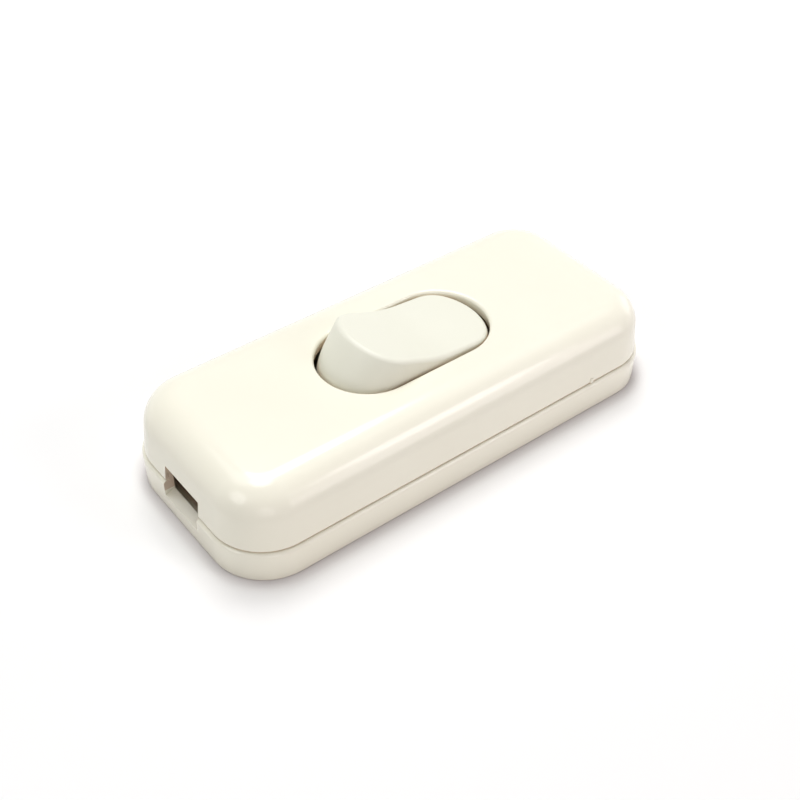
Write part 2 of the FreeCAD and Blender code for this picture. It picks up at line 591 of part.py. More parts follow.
def build_lower_housing():
    body = new_body("lower_housing")
    drawing = new_sketch(body, "lower_outline", "XY_Plane", dim["parting_height"])
    rounded_rectangle(drawing, half_length, half_width, dim["corner_radius"])
    pad(body, "lower_block", drawing, dim["parting_height"], reverse=True, taper=-dim["lower_draft"])
    rounded(body, "ledge", dim["ledge_rounding"], level_at(dim["parting_height"]))
    rounded(body, "lower_rounding", dim["bottom_rounding"], level_at(0))

    drawing = new_sketch(body, "tray_outline", "XY_Plane", dim["parting_height"])
    inset_outline(drawing, dim["lower_wall"])
    pocket(body, "tray", drawing, dim["parting_height"] - dim["floor"])

    drawing = new_sketch(body, "lip_outline", "XY_Plane", dim["parting_height"])
    inset_outline(drawing, dim["lip_inset"])
    inset_outline(drawing, dim["lower_wall"])
    pad(body, "locating_lip", drawing, dim["lip_height"])

    drawing = new_sketch(body, "lower_slot_section", "YZ_Plane")
    slot_section(drawing, dim["slot_bottom"], dim["slot_top"])
    pocket(body, "lower_slots", drawing, both_ways=True)

    def rise(name, height, draw):
        outlines = new_sketch(body, name + "_outlines", "XY_Plane", dim["floor"])
        draw(outlines)
        pad(body, name, outlines, height - dim["floor"])

    def trunnion_posts(outlines):
        half = pin_hole - dim["post_play"]
        for sign in signs:
            rectangle(outlines, -half, half, *span(sign, dim["cheek_near"], dim["cheek_far"]))

    def rocker_stops(outlines):
        for x_sign in signs:
            for y_sign in signs:
                rectangle(outlines, *span(x_sign, dim["stop_inner_end"], dim["stop_outer_end"]),
                          *span(y_sign, dim["stop_near"], dim["stop_far"]))

    def barriers(outlines):
        half = dim["barrier_thickness"] / 2
        for sign in signs:
            rectangle(outlines, *span(sign, dim["barrier_start"], dim["barrier_end"]), -half, half)

    def clamp_posts(outlines):
        for x_sign in signs:
            for y_sign in signs:
                circle(outlines, signed(x_sign, dim["clamp_place"]),
                       signed(y_sign, dim["clamp_screw_place"]), dim["clamp_post_radius"])

    def saddles(outlines):
        half = dim["saddle_width"] / 2
        for sign in signs:
            rectangle(outlines, *span(sign, dim["clamp_place"] - half, dim["clamp_place"] + half),
                      -dim["clamp_screw_place"], dim["clamp_screw_place"])

    def fixing_bosses(outlines):
        for x, y in fixing_places:
            circle(outlines, x, y, dim["fixing_boss_lower"])

    rise("trunnion_posts", dim["pivot_height"] - pin_hole, trunnion_posts)
    rise("rocker_stops", dim["stop_top"], rocker_stops)
    rise("barriers", dim["barrier_top"], barriers)
    rise("clamp_posts", dim["clamp_seat"], clamp_posts)
    rise("saddles", dim["slot_bottom"], saddles)
    rise("fixing_bosses", dim["fixing_meet"], fixing_bosses)

    drawing = new_sketch(body, "clamp_pilot_outlines", "XY_Plane", dim["clamp_seat"])
    for x_sign in signs:
        for y_sign in signs:
            circle(drawing, signed(x_sign, dim["clamp_place"]), signed(y_sign, dim["clamp_screw_place"]),
                   dim["clamp_shank"] + dim["running_clearance"])
    pocket(body, "clamp_pilots", drawing, dim["clamp_screw_depth"] + dim["fixing_hole_spare"])

    drawing = new_sketch(body, "head_recess_outlines", "XY_Plane")
    for x, y in fixing_places:
        circle(drawing, x, y, dim["fixing_head"] + dim["fixing_head_play"])
    pocket(body, "head_recesses", drawing, dim["fixing_sink"] + dim["fixing_head_height"], reverse=True)
    drawing = new_sketch(body, "shank_hole_outlines", "XY_Plane")
    for x, y in fixing_places:
        circle(drawing, x, y, dim["fixing_shank"] + dim["running_clearance"])
    pocket(body, "shank_holes", drawing, dim["fixing_meet"], reverse=True)
    return body


def tilt_about_axis(body, height, angle):
    # turn the piece about its own Y axis and lift it to that axis
    turn = FreeCAD.Rotation(FreeCAD.Vector(0, 1, 0), number(angle))
    body.Placement = FreeCAD.Placement(FreeCAD.Vector(), turn)
    body.setExpression("Placement.Base.z", text(height))
    body.setExpression("Placement.Rotation.Angle", text(angle))


def build_rocker():
    # own frame: the axis is the origin, the key stands level
    body = new_body("rocker")
    wall = dim["rocker_wall"]
    half_long = rocker_half_length
    half_wide = rocker_half_width
    skirt_height = dim["rocker_waist_rise"] - dim["rocker_skirt_rise"]
    lean_height = dim["crown_rise"] - dim["rocker_waist_rise"]

    drawing = new_sketch(body, "skirt_outline", "XY_Plane", dim["rocker_skirt_rise"])
    rounded_end_outline(drawing, half_long, half_wide, dim["rocker_end_radius"], dim["rocker_end_corner"])
    pad(body, "skirt", drawing, skirt_height)
    waist = new_sketch(body, "waist_outline", "XY_Plane", dim["rocker_waist_rise"])
    rounded_end_outline(waist, half_long, half_wide, dim["rocker_end_radius"], dim["rocker_end_corner"])
    crown = new_sketch(body, "crown_outline", "XY_Plane", dim["crown_rise"])
    rounded_end_outline(crown, dim["crown_length"] / 2, dim["crown_width"] / 2,
                        dim["crown_end_radius"], dim["crown_end_corner"])
    loft = body.newObject("PartDesign::AdditiveLoft", "leaning_walls")
    loft.Profile = waist
    loft.Sections = [crown]
    loft.Ruled = True
    doc.recompute()

    # finger dish: two leaning halves that meet in a hollow curve
    drawing = new_sketch(body, "dish_section", "XZ_Plane")
    lean = dim["dish_angle"]
    turn_x = dim["dish_blend"] * sine(lean)
    turn_z = dim["rocker_dip_rise"] + dim["dish_blend"] * (1 - cosine(lean))
    outer_x = half_long
    outer_z = turn_z + (outer_x - turn_x) * tangent(lean)
    above = outer_z + dim["crown_rise"]
    corners = [(turn_x, turn_z), (outer_x, outer_z), (outer_x, above),
               (-outer_x, above), (-outer_x, outer_z), (-turn_x, turn_z)]
    chain = open_chain(drawing, corners)
    hollow = arc(drawing, 0, dim["rocker_dip_rise"] + dim["dish_blend"], dim["dish_blend"],
                 270 - lean.value, 270 + lean.value)
    drawing.addConstraint(Sketcher.Constraint("Coincident", hollow, 1, chain[-1], 2))
    drawing.addConstraint(Sketcher.Constraint("Coincident", hollow, 2, chain[0], 1))
    set_radius(drawing, hollow, dim["dish_blend"])
    pocket(body, "finger_dish", drawing, dim["rocker_width"] * 2, both_ways=True)

    def rim(edge):
        box = edge.BoundBox
        return box.ZMin > dim["rocker_dip_rise"].value - tolerance and box.XLength > tolerance

    rounded(body, "rim_rounding", dim["rocker_edge"], rim)

    # hollow underside: an upright mouth, then walls that follow the outer lean up to the ceiling
    drawing = new_sketch(body, "hollow_mouth", "XY_Plane", dim["rocker_skirt_rise"])
    mouth_long = half_long - wall
    mouth_wide = half_wide - wall
    end_radius = dim["rocker_end_radius"] - wall
    end_corner = dim["rocker_end_corner"] - wall
    rounded_end_outline(drawing, mouth_long, mouth_wide, end_radius, end_corner)
    pocket(body, "rocker_mouth", drawing, skirt_height, reverse=True)
    share = (dim["rocker_ceiling"] - dim["rocker_waist_rise"]) / lean_height
    low = new_sketch(body, "hollow_waist", "XY_Plane", dim["rocker_waist_rise"])
    rounded_end_outline(low, mouth_long, mouth_wide, end_radius, end_corner)
    high = new_sketch(body, "hollow_ceiling", "XY_Plane", dim["rocker_ceiling"])
    rounded_end_outline(high, mouth_long - (half_long - dim["crown_length"] / 2) * share,
                        mouth_wide - (half_wide - dim["crown_width"] / 2) * share, end_radius, end_corner)
    before = body.Shape.Volume
    hollow_loft = body.newObject("PartDesign::SubtractiveLoft", "rocker_hollow")
    hollow_loft.Profile = low
    hollow_loft.Sections = [high]
    hollow_loft.Ruled = True
    doc.recompute()
    if body.Shape.Volume >= before:
        raise RuntimeError("the rocker's hollow cuts nothing")

    drawing = new_sketch(body, "web_outline", "XY_Plane", dim["web_rise"])
    rectangle(drawing, -dim["web_thickness"] / 2, dim["web_thickness"] / 2, -mouth_wide, mouth_wide)
    pad(body, "web", drawing, dim["rocker_ceiling"] - dim["web_rise"])
    drawing = new_sketch(body, "boss_outline", "XY_Plane", -dim["boss_drop"])
    circle(drawing, 0, 0, dim["boss_radius"])
    pad(body, "plunger_boss", drawing, dim["rocker_ceiling"] + dim["boss_drop"])
    drawing = new_sketch(body, "bore_outline", "XY_Plane", -dim["boss_drop"])
    circle(drawing, 0, 0, dim["plunger_radius"] + dim["running_clearance"])
    pocket(body, "plunger_bore", drawing, dim["bore_top"] + dim["boss_drop"], reverse=True)

    # tongues that carry the trunnions below the skirt
    drawing = new_sketch(body, "tongue_outlines", "XY_Plane", -dim["tongue_drop"])
    for sign in signs:
        rectangle(drawing, -dim["tongue_length"] / 2, dim["tongue_length"] / 2,
                  *span(sign, mouth_wide, half_wide))
    pad(body, "tongues", drawing, dim["tongue_drop"] + dim["rocker_waist_rise"])

    def tongue_corner(edge):
        box = edge.BoundBox
        return level_at(-dim["tongue_drop"])(edge) and box.XLength < tolerance

    rounded(body, "tongue_rounding", dim["tongue_edge"], tongue_corner)
    for sign in signs:
        drawing = new_sketch(body, "trunnion_outline", "XZ_Plane", signed(sign, mouth_wide))
        circle(drawing, 0, 0, dim["trunnion_radius"])
        pad(body, "trunnion", drawing, dim["trunnion_reach"] - mouth_wide, reverse=sign < 0)
    tilt_about_axis(body, dim["pivot_height"], dim["rocker_tilt"])
    return body


def build_plunger():
    # own frame: that of the rocker
    body = new_body("plunger")
    drawing = new_sketch(body, "plunger_section", "XZ_Plane")
    tip = -(dim["nose_centre"] + dim["nose_radius"])
    stub_top = dim["plunger_shoulder"] + dim["stub_rise"]
    corners = [(dim["nose_radius"], -dim["nose_centre"]), (dim["nose_radius"], -dim["plunger_neck"]),
               (dim["plunger_radius"], -dim["plunger_neck"]),
               (dim["plunger_radius"], dim["plunger_shoulder"]),
               (dim["stub_radius"], dim["plunger_shoulder"]), (dim["stub_radius"], stub_top),
               (0, stub_top), (0, tip)]
    chain = open_chain(drawing, corners)
    nose = arc(drawing, 0, -dim["nose_centre"], dim["nose_radius"], 270, 360)
    drawing.addConstraint(Sketcher.Constraint("Coincident", nose, 1, chain[-1], 2))
    drawing.addConstraint(Sketcher.Constraint("Coincident", nose, 2, chain[0], 1))
    set_radius(drawing, nose, dim["nose_radius"])
    revolve(body, "plunger_turned", drawing)
    tilt_about_axis(body, dim["pivot_height"], dim["rocker_tilt"])
    return body


def build_plunger_spring():
    # coil between the plunger's shoulder and the bore's blind end
    low = dim["plunger_shoulder"] + dim["spring_wire"] + dim["spring_play"]
    high = dim["bore_top"] - dim["spring_wire"] - dim["spring_play"]
    coil = doc.addObject("Part::Helix", "coil_path")
    coil.setExpression("Height", text(high - low))
    coil.setExpression("Pitch", text((high - low) / dim["spring_turns"]))
    coil.setExpression("Radius", text(dim["spring_radius"]))
    coil.setExpression("Placement.Base.z", text(low))
    wire = doc.addObject("Part::Circle", "coil_wire")
    wire.setExpression("Radius", text(dim["spring_wire"]))
    wire.Placement = FreeCAD.Placement(FreeCAD.Vector(), FreeCAD.Rotation(FreeCAD.Vector(1, 0, 0), 90))
    wire.setExpression("Placement.Base.x", text(dim["spring_radius"]))
    wire.setExpression("Placement.Base.z", text(low))
    doc.recompute()
    spring = doc.addObject("Part::Sweep", "plunger_spring")
    spring.Sections = [wire]
    spring.Spine = (coil, ["Edge1"])
    spring.Solid = True
    spring.Frenet = True
    doc.recompute()
    tilt_about_axis(spring, dim["pivot_height"], dim["rocker_tilt"])
    return spring


def build_contact_bridge():
    # own frame: the see-saw's axis is the origin, the blade lies level
    body = new_body("contact_bridge")
    half = dim["blade_width"] / 2
    drawing = new_sketch(body, "blade_outline", "XY_Plane", -dim["blade_thickness"] / 2)
    rectangle(drawing, -dim["rest_arm"], dim["contact_arm"] + dim["contact_margin"], -half, half)
    pad(body, "blade", drawing, dim["blade_thickness"])
    for sign in signs:
        drawing = new_sketch(body, "lug_outline", "XZ_Plane", signed(sign, half - dim["lug_root"]))
        circle(drawing, 0, 0, dim["lug_radius"])
        pad(body, "lug", drawing, dim["lug_reach"] - half + dim["lug_root"], reverse=sign < 0)
    tilt_about_axis(body, dim["bridge_height"], -dim["bridge_tilt"])
    return body


def contact_button(label, height):
    # a round button with a domed face: its foot is the origin, the dome looks up
    body = new_body(label)
    drawing = new_sketch(body, label + "_section", "XZ_Plane")
    corners = [(0, height), (0, 0), (dim["contact_radius"], 0),
               (dim["contact_radius"], height - contact_crown)]
    chain = open_chain(drawing, corners)
    reach = math.degrees(math.acos(dim["contact_radius"].value / dim["dome_radius"].value))
    dome = arc(drawing, 0, height - dim["dome_radius"], dim["dome_radius"], reach, 90)
    drawing.addConstraint(Sketcher.Constraint("Coincident", dome, 1, chain[-1], 2))
    drawing.addConstraint(Sketcher.Constraint("Coincident", dome, 2, chain[0], 1))
    set_radius(drawing, dome, dim["dome_radius"])
    revolve(body, label + "_turned", drawing)
    return body


# rise of a contact's dome over its straight edge
contact_crown = dim["dome_radius"] - root(dim["dome_radius"] * dim["dome_radius"]
                                          - dim["contact_radius"] * dim["contact_radius"])
dome_centre = dim["dome_radius"] - dim["contact_stand"] - blade_under
# where the moving contact's dome is lowest once the see-saw has tipped over
touch_x = dim["contact_arm"] * cosine(dim["bridge_tilt"]) + dome_centre * sine(dim["bridge_tilt"])
touch_z = (dim["bridge_height"] - dim["contact_arm"] * sine(dim["bridge_tilt"])
           + dome_centre * cosine(dim["bridge_tilt"]) - dim["dome_radius"])


def build_bridge_contact():
    # hangs under the blade, so it is turned over and tipped with the see-saw
    body = contact_button("bridge_contact", dim["contact_stand"])
    lean = -dim["bridge_tilt"]
    body.Placement = FreeCAD.Placement(FreeCAD.Vector(), FreeCAD.Rotation(FreeCAD.Vector(0, 1, 0), 180))
    body.setExpression("Placement.Rotation.Angle", text(180 - dim["bridge_tilt"]))
    body.setExpression("Placement.Base.x", text(dim["contact_arm"] * cosine(lean)
                                                - blade_under * sine(lean)))
    body.setExpression("Placement.Base.z", text(dim["bridge_height"] - dim["contact_arm"] * sine(lean)
                                                - blade_under * cosine(lean)))
    return body


def build_fixed_contact():
    body = contact_button("fixed_contact", touch_z - dim["contact_gap"] - strip_top)
    body.setExpression("Placement.Base.x", text(touch_x))
    body.setExpression("Placement.Base.z", text(strip_top))
    return body


live_low = dim["live_place"] - dim["pillar_size"] / 2
live_high = dim["live_place"] + dim["pillar_size"] / 2
neutral_near = dim["neutral_place"] - dim["pillar_size"] / 2
ear_near = dim["blade_width"] / 2 + dim["ear_gap"]
ear_far = ear_near + dim["strip_thickness"]


def build_line_in_strip():
    body = new_body("line_in_strip")
    drawing = new_sketch(body, "line_in_outline", "XY_Plane", dim["floor"])
    elbow = pillar_near - dim["strip_elbow"]
    polygon(drawing, [
        (-pillar_far, live_low), (-pillar_near, live_low), (-pillar_near, -ear_far),
        (dim["strip_overhang"], -ear_far), (dim["strip_overhang"], ear_far),
        (-elbow, ear_far), (-elbow, live_high), (-pillar_far, live_high),
    ])
    pad(body, "line_in_plate", drawing, dim["strip_thickness"])
    drawing = new_sketch(body, "ear_outlines", "XY_Plane", strip_top)
    for sign in signs:
        rectangle(drawing, -dim["ear_length"] / 2, dim["ear_length"] / 2, *span(sign, ear_near, ear_far))
    pad(body, "ears", drawing, dim["bridge_height"] - strip_top)
    drawing = new_sketch(body, "notch_outline", "XZ_Plane")
    circle(drawing, 0, dim["bridge_height"], dim["lug_radius"] + dim["running_clearance"])
    pocket(body, "notches", drawing, ear_far * 2 + dim["ear_gap"], both_ways=True)

    # the see-saw's idle arm comes to rest on a coined tab
    arm_end = dim["rest_arm"] * cosine(dim["bridge_tilt"])
    rest_height = (dim["bridge_height"] - dim["rest_arm"] * sine(dim["bridge_tilt"])
                   - blade_under * cosine(dim["bridge_tilt"]) - dim["contact_gap"])
    drawing = new_sketch(body, "rest_tab_outline", "XY_Plane", strip_top)
    rectangle(drawing, -arm_end, dim["rest_tab_length"] - arm_end,
              -dim["rest_tab_width"] / 2, dim["rest_tab_width"] / 2)
    pad(body, "rest_tab", drawing, rest_height - strip_top)
    return body


def build_line_out_strip():
    body = new_body("line_out_strip")
    drawing = new_sketch(body, "line_out_outline", "XY_Plane", dim["floor"])
    half = dim["out_strip_width"] / 2
    elbow = pillar_near - dim["strip_elbow"]
    polygon(drawing, [
        (dim["out_strip_end"], -half), (pillar_near, -half), (pillar_near, live_low), (pillar_far, live_low),
        (pillar_far, live_high), (elbow, live_high), (elbow, half), (dim["out_strip_end"], half),
    ])
    pad(body, "line_out_plate", drawing, dim["strip_thickness"])
    return body


def build_neutral_strip():
    body = new_body("neutral_strip")
    drawing = new_sketch(body, "neutral_outline", "XY_Plane", dim["floor"])
    near = -dim["neutral_run_near"]
    far = -dim["neutral_run_far"]
    polygon(drawing, [
        (-pillar_far, far), (pillar_far, far), (pillar_far, -neutral_near), (pillar_near, -neutral_near),
        (pillar_near, near), (-pillar_near, near),
        (-pillar_near, -neutral_near), (-pillar_far, -neutral_near),
    ])
    pad(body, "neutral_plate", drawing, dim["strip_thickness"])
    return body


def build_pillar(label, x_sign, y):
    # own frame: the middle of the pillar's foot
    body = new_body(label)
    half = dim["pillar_size"] / 2
    drawing = new_sketch(body, label + "_outline", "XY_Plane")
    rectangle(drawing, -half, half, -half, half)
    pad(body, label + "_block", drawing, dim["pillar_top"] - strip_top)
    rounded(body, label + "_edges", dim["pillar_edge"], upright)
    drawing = new_sketch(body, label + "_wire_hole", "YZ_Plane")
    circle(drawing, 0, dim["wire_height"] - strip_top, dim["wire_bore"])
    pocket(body, label + "_wire_bore", drawing, both_ways=True)
    drawing = new_sketch(body, label + "_screw_hole", "XY_Plane", dim["pillar_top"] - strip_top)
    circle(drawing, 0, 0, dim["terminal_shank"] + dim["running_clearance"])
    pocket(body, label + "_screw_bore", drawing, dim["pillar_top"] - dim["wire_height"])
    body.setExpression("Placement.Base.x", text(signed(x_sign, dim["pillar_place"])))
    body.setExpression("Placement.Base.y", text(y))
    body.setExpression("Placement.Base.z", text(strip_top))
    return body


def build_cord_clamp(label, sign):
    # own frame: the middle of the bar, at the housing's floor level
    body = new_body(label)
    drawing = new_sketch(body, label + "_section", "YZ_Plane")
    seat = dim["clamp_seat"]
    ridge = dim["clamp_ridge_half"] - dim["clamp_ridge"]
    polygon(drawing, [
        (-dim["clamp_reach"], seat), (-dim["clamp_ridge_half"], seat), (-ridge, seat - dim["clamp_ridge"]),
        (ridge, seat - dim["clamp_ridge"]), (dim["clamp_ridge_half"], seat), (dim["clamp_reach"], seat),
        (dim["clamp_reach"], seat + dim["clamp_thickness"]),
        (-dim["clamp_reach"], seat + dim["clamp_thickness"]),
    ])
    pad(body, label + "_bar", drawing, dim["clamp_width"], both_ways=True)
    rounded(body, label + "_ends", dim["clamp_end"], upright)
    drawing = new_sketch(body, label + "_holes", "XY_Plane", seat + dim["clamp_thickness"])
    for y_sign in signs:
        circle(drawing, 0, signed(y_sign, dim["clamp_screw_place"]),
               dim["clamp_shank"] + dim["running_clearance"])
    pocket(body, label + "_screw_holes", drawing)
    body.setExpression("Placement.Base.x", text(signed(sign, dim["clamp_place"])))
    return body


def build_screw(name, shank, head, head_height, length, x, y, z, upside_down):
    # own frame: the head's seat is the origin and the shank points down
    body = doc.addObject("PartDesign::Body", name)
    drawing = new_sketch(body, name + "_section", "XZ_Plane")
    polygon(drawing, [(0, -length), (shank, -length), (shank, 0),
                      (head, 0), (head, head_height), (0, head_height)])
    revolve(body, name + "_turned", drawing)
    half = dim["recess_width"] / 2
    reach = head * dim["recess_share"]
    drawing = new_sketch(body, name + "_recess", "XY_Plane", head_height)
    polygon(drawing, [
        (half, half), (half, reach), (-half, reach), (-half, half), (-reach, half), (-reach, -half),
        (-half, -half), (-half, -reach), (half, -reach), (half, -half), (reach, -half), (reach, half),
    ])
    pocket(body, name + "_drive", drawing, dim["recess_depth"])
    if upside_down:
        body.Placement = FreeCAD.Placement(FreeCAD.Vector(), FreeCAD.Rotation(FreeCAD.Vector(1, 0, 0), 180))
    body.setExpression("Placement.Base.x", text(x))
    body.setExpression("Placement.Base.y", text(y))
    body.setExpression("Placement.Base.z", text(z))
    return body


def screw_group(label, screws):
    group = doc.addObject("Part::Compound", label)
    group.Label = label
    group.Links = screws
    doc.recompute()
    return group


def build_terminal_screws():
    seat = dim["pillar_top"] + dim["terminal_open"]
    screws = []
    for x_sign in signs:
        for y in (dim["live_place"], -dim["neutral_place"]):
            screws.append(build_screw("terminal_screw", dim["terminal_shank"], dim["terminal_head"],
                                      dim["terminal_head_height"], seat - dim["terminal_tip"],
                                      signed(x_sign, dim["pillar_place"]), y, seat, False))
    return screw_group("terminal_screws", screws)


def build_clamp_screws():
    seat = dim["clamp_seat"] + dim["clamp_thickness"]
    screws = []
    for x_sign in signs:
        for y_sign in signs:
            screws.append(build_screw("clamp_screw", dim["clamp_shank"], dim["clamp_head"],
                                      dim["clamp_head_height"],
                                      dim["clamp_thickness"] + dim["clamp_screw_depth"],
                                      signed(x_sign, dim["clamp_place"]),
                                      signed(y_sign, dim["clamp_screw_place"]),
                                      seat, False))
    return screw_group("clamp_screws", screws)


def build_housing_screws():
    seat = dim["fixing_sink"] + dim["fixing_head_height"]
    screws = [build_screw("housing_screw", dim["fixing_shank"], dim["fixing_head"],
                          dim["fixing_head_height"], dim["fixing_length"], x, y, seat, True)
              for x, y in fixing_places]
    return screw_group("housing_screws", screws)


sub_parts = [
    build_upper_housing(),
    build_lower_housing(),
    build_rocker(),
    build_plunger(),
    build_plunger_spring(),
    build_contact_bridge(),
    build_bridge_contact(),
    build_fixed_contact(),
    build_line_in_strip(),
    build_line_out_strip(),
    build_neutral_strip(),
    build_pillar("line_in_pillar", -1, dim["live_place"]),
    build_pillar("line_out_pillar", 1, dim["live_place"]),
    build_pillar("neutral_in_pillar", -1, -dim["neutral_place"]),
    build_pillar("neutral_out_pillar", 1, -dim["neutral_place"]),
    build_cord_clamp("cord_clamp_left", -1),
    build_cord_clamp("cord_clamp_right", 1),
    build_terminal_screws(),
    build_clamp_screws(),
    build_housing_screws(),
]
doc.recompute()

for item in doc.Objects:
    if "Invalid" in item.State or "Error" in item.State:
        raise RuntimeError("%s failed: %s" % (item.Label, item.State))
for part in sub_parts:
    if part.Shape.isNull() or not part.Shape.isValid():
        raise RuntimeError("%s has no valid shape" % part.Label)

os.makedirs("parts", exist_ok=True)
for part in sub_parts:
    part.Shape.exportStep("parts/%s.step" % part.Label)
    print("%-20s %2d solid(s) %10.3f mm3" % (part.Label, len(part.Shape.Solids), part.Shape.Volume))
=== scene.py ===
import bmesh
import bpy
import json
from math import atan2, cos, pi, radians, sin, sqrt, tan
from mathutils import Matrix, Vector


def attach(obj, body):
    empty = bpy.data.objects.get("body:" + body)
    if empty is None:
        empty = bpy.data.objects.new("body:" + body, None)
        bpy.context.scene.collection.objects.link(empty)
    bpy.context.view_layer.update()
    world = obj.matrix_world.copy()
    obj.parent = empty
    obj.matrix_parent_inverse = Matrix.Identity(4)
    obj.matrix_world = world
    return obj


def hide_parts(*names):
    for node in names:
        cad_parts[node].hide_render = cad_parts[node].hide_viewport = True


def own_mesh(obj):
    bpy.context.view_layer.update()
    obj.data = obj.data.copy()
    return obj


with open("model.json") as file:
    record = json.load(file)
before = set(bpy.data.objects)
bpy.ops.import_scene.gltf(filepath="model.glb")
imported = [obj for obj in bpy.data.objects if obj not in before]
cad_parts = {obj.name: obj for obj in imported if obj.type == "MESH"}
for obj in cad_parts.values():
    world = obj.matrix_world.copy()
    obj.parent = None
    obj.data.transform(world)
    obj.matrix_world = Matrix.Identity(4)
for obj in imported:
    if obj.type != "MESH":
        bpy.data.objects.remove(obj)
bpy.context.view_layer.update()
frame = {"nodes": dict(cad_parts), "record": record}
mm = 0.001
up = Vector((0, 0, 1))
tiny = 1e-6  # points closer than this are one
overshoot = 1 * mm  # how far a cutter reaches past what it cuts


# Working with one mesh at a time

def pickNothing():
    if bpy.context.mode != "OBJECT":
        bpy.ops.object.mode_set(mode="OBJECT")
    bpy.ops.object.select_all(action="DESELECT")


def takeUp(piece):  # the only selected object, and the active one
    pickNothing()
    piece.select_set(True)
    bpy.context.view_layer.objects.active = piece


def openMesh(piece, mode="FACE"):
    takeUp(piece)
    bpy.ops.object.mode_set(mode="EDIT")
    bpy.ops.mesh.select_mode(type=mode)


def closeMesh():
    bpy.ops.object.mode_set(mode="OBJECT")


def chooseEdges(test):
    bpy.ops.mesh.select_mode(type="EDGE")
    bpy.ops.mesh.select_all(action="DESELECT")
    live = bmesh.from_edit_mesh(bpy.context.object.data)
    for edge in live.edges:
        edge.select_set(test(edge))
    bmesh.update_edit_mesh(bpy.context.object.data)


def drawOut(way):  # extrude what is selected
    bpy.ops.mesh.extrude_region_move(TRANSFORM_OT_translate={"value": way})


def settle(piece):  # place, turn and size go into the mesh
    takeUp(piece)
    bpy.ops.object.transform_apply(location=True, rotation=True, scale=True)


def block(low, high):
    pickNothing()
    middle = [(a + b) / 2 for a, b in zip(low, high)]
    bpy.ops.mesh.primitive_cube_add(size=1, location=middle)
    piece = bpy.context.object
    piece.scale = [b - a for a, b in zip(low, high)]
    settle(piece)
    return piece


def rod(x, y, radius, low, high, sides=64):
    pickNothing()
    bpy.ops.mesh.primitive_cylinder_add(vertices=sides, radius=radius, depth=high - low,
                                        location=(x, y, (low + high) / 2))
    piece = bpy.context.object
    settle(piece)
    return piece


def crossRod(radius, near, far, height, sides=48):  # a rod along Y
    piece = rod(0, 0, radius, near, far, sides)
    piece.rotation_euler.x = -pi / 2
    settle(piece)
    piece.location.z = height
    settle(piece)
    return piece


def joined(pieces):
    takeUp(pieces[0])
    for piece in pieces[1:]:
        piece.select_set(True)
    bpy.ops.object.join()
    return bpy.context.object


def mergeDoubles(piece):
    openMesh(piece, "VERT")
    bpy.ops.mesh.select_all(action="SELECT")
    bpy.ops.mesh.remove_doubles(threshold=tiny)
    closeMesh()


def welded(pieces):
    piece = joined(pieces)
    mergeDoubles(piece)
    return piece


def combined(piece, other, way):  # UNION or DIFFERENCE
    takeUp(piece)
    step = piece.modifiers.new("combine", "BOOLEAN")
    step.operation = way
    step.solver = "EXACT"
    step.object = other
    step.use_self = way == "UNION"
    bpy.ops.object.modifier_apply(modifier=step.name)
    bpy.data.objects.remove(other)


def smoothed(piece, angle=32):
    takeUp(piece)
    bpy.ops.object.shade_smooth_by_angle(angle=radians(angle))


# The shells: a rounded plate whose face is walked in and up along the section

def roundedPlate(name, halfLength, halfWidth, corner, height, steps, facesDown):
    pickNothing()
    bpy.ops.mesh.primitive_plane_add(size=2, location=(0, 0, height))
    plate = bpy.context.object
    plate.name = name
    plate.scale = (halfLength, halfWidth, 1)
    settle(plate)
    openMesh(plate, "VERT")
    bpy.ops.mesh.select_all(action="SELECT")
    bpy.ops.mesh.bevel(offset=corner, offset_type="OFFSET", segments=steps, affect="VERTICES",
                       clamp_overlap=False)
    bpy.ops.mesh.select_mode(type="FACE")
    bpy.ops.mesh.select_all(action="SELECT")
    if facesDown:
        bpy.ops.mesh.flip_normals()
    return plate


def walk(inward, along):  # next ring of the section, from the selected face
    if inward > 0:
        bpy.ops.mesh.inset(thickness=inward, depth=along, use_even_offset=True, use_boundary=True)
    else:
        live = bmesh.from_edit_mesh(bpy.context.object.data)
        facing = next(face.normal.z for face in live.faces if face.select)
        rise = along if facing > 0 else -along
        drawOut((0, 0, rise))


def walkRound(radius, start, end, steps, sign=1):  # rounding of the section, angles in degrees
    turns = [radians(start + (end - start) * index / steps) for index in range(steps + 1)]
    for first, second in zip(turns, turns[1:]):
        walk(radius * (cos(first) - cos(second)), sign * radius * (sin(second) - sin(first)))


case = {
    "halfLength": 31 * mm,
    "halfWidth": 13.575 * mm,
    "corner": 6.95 * mm,
    "top": 11.75 * mm,
    "parting": 4.13 * mm,
    "cornerSteps": 26,
    "closingRing": 0.2 * mm,  # round the flat top and underside, for even shading
    "slotHalf": 3.5 * mm,
    "slotLow": 2.1 * mm,
    "slotHigh": 6.42 * mm,
    "slotSlope": 0.325,
    "pivot": 6.4 * mm,
    "pinHole": 1.25 * mm,
    "cheekNear": 6.6 * mm,
    "cheekFar": 8.4 * mm,
    "lipInset": 0.75 * mm,
    "lipRise": 1.1 * mm,
    "screwX": 22.3 * mm,
    "screwY": 9.3 * mm,
    "screwMeet": 4.3 * mm,
    "screwHole": 1.05 * mm,
}
screwPlaces = [(-case["screwX"], case["screwY"]), (case["screwX"], -case["screwY"])]


def slotSpan(side, depth):  # X range of a cord slot's cutter
    return sorted((side * (case["halfLength"] - depth), side * (case["halfLength"] + overshoot)))


def casePlate(name, inset, height, facesDown):
    return roundedPlate(name, case["halfLength"] - inset, case["halfWidth"] - inset, case["corner"] - inset,
                        height, case["cornerSteps"], facesDown)


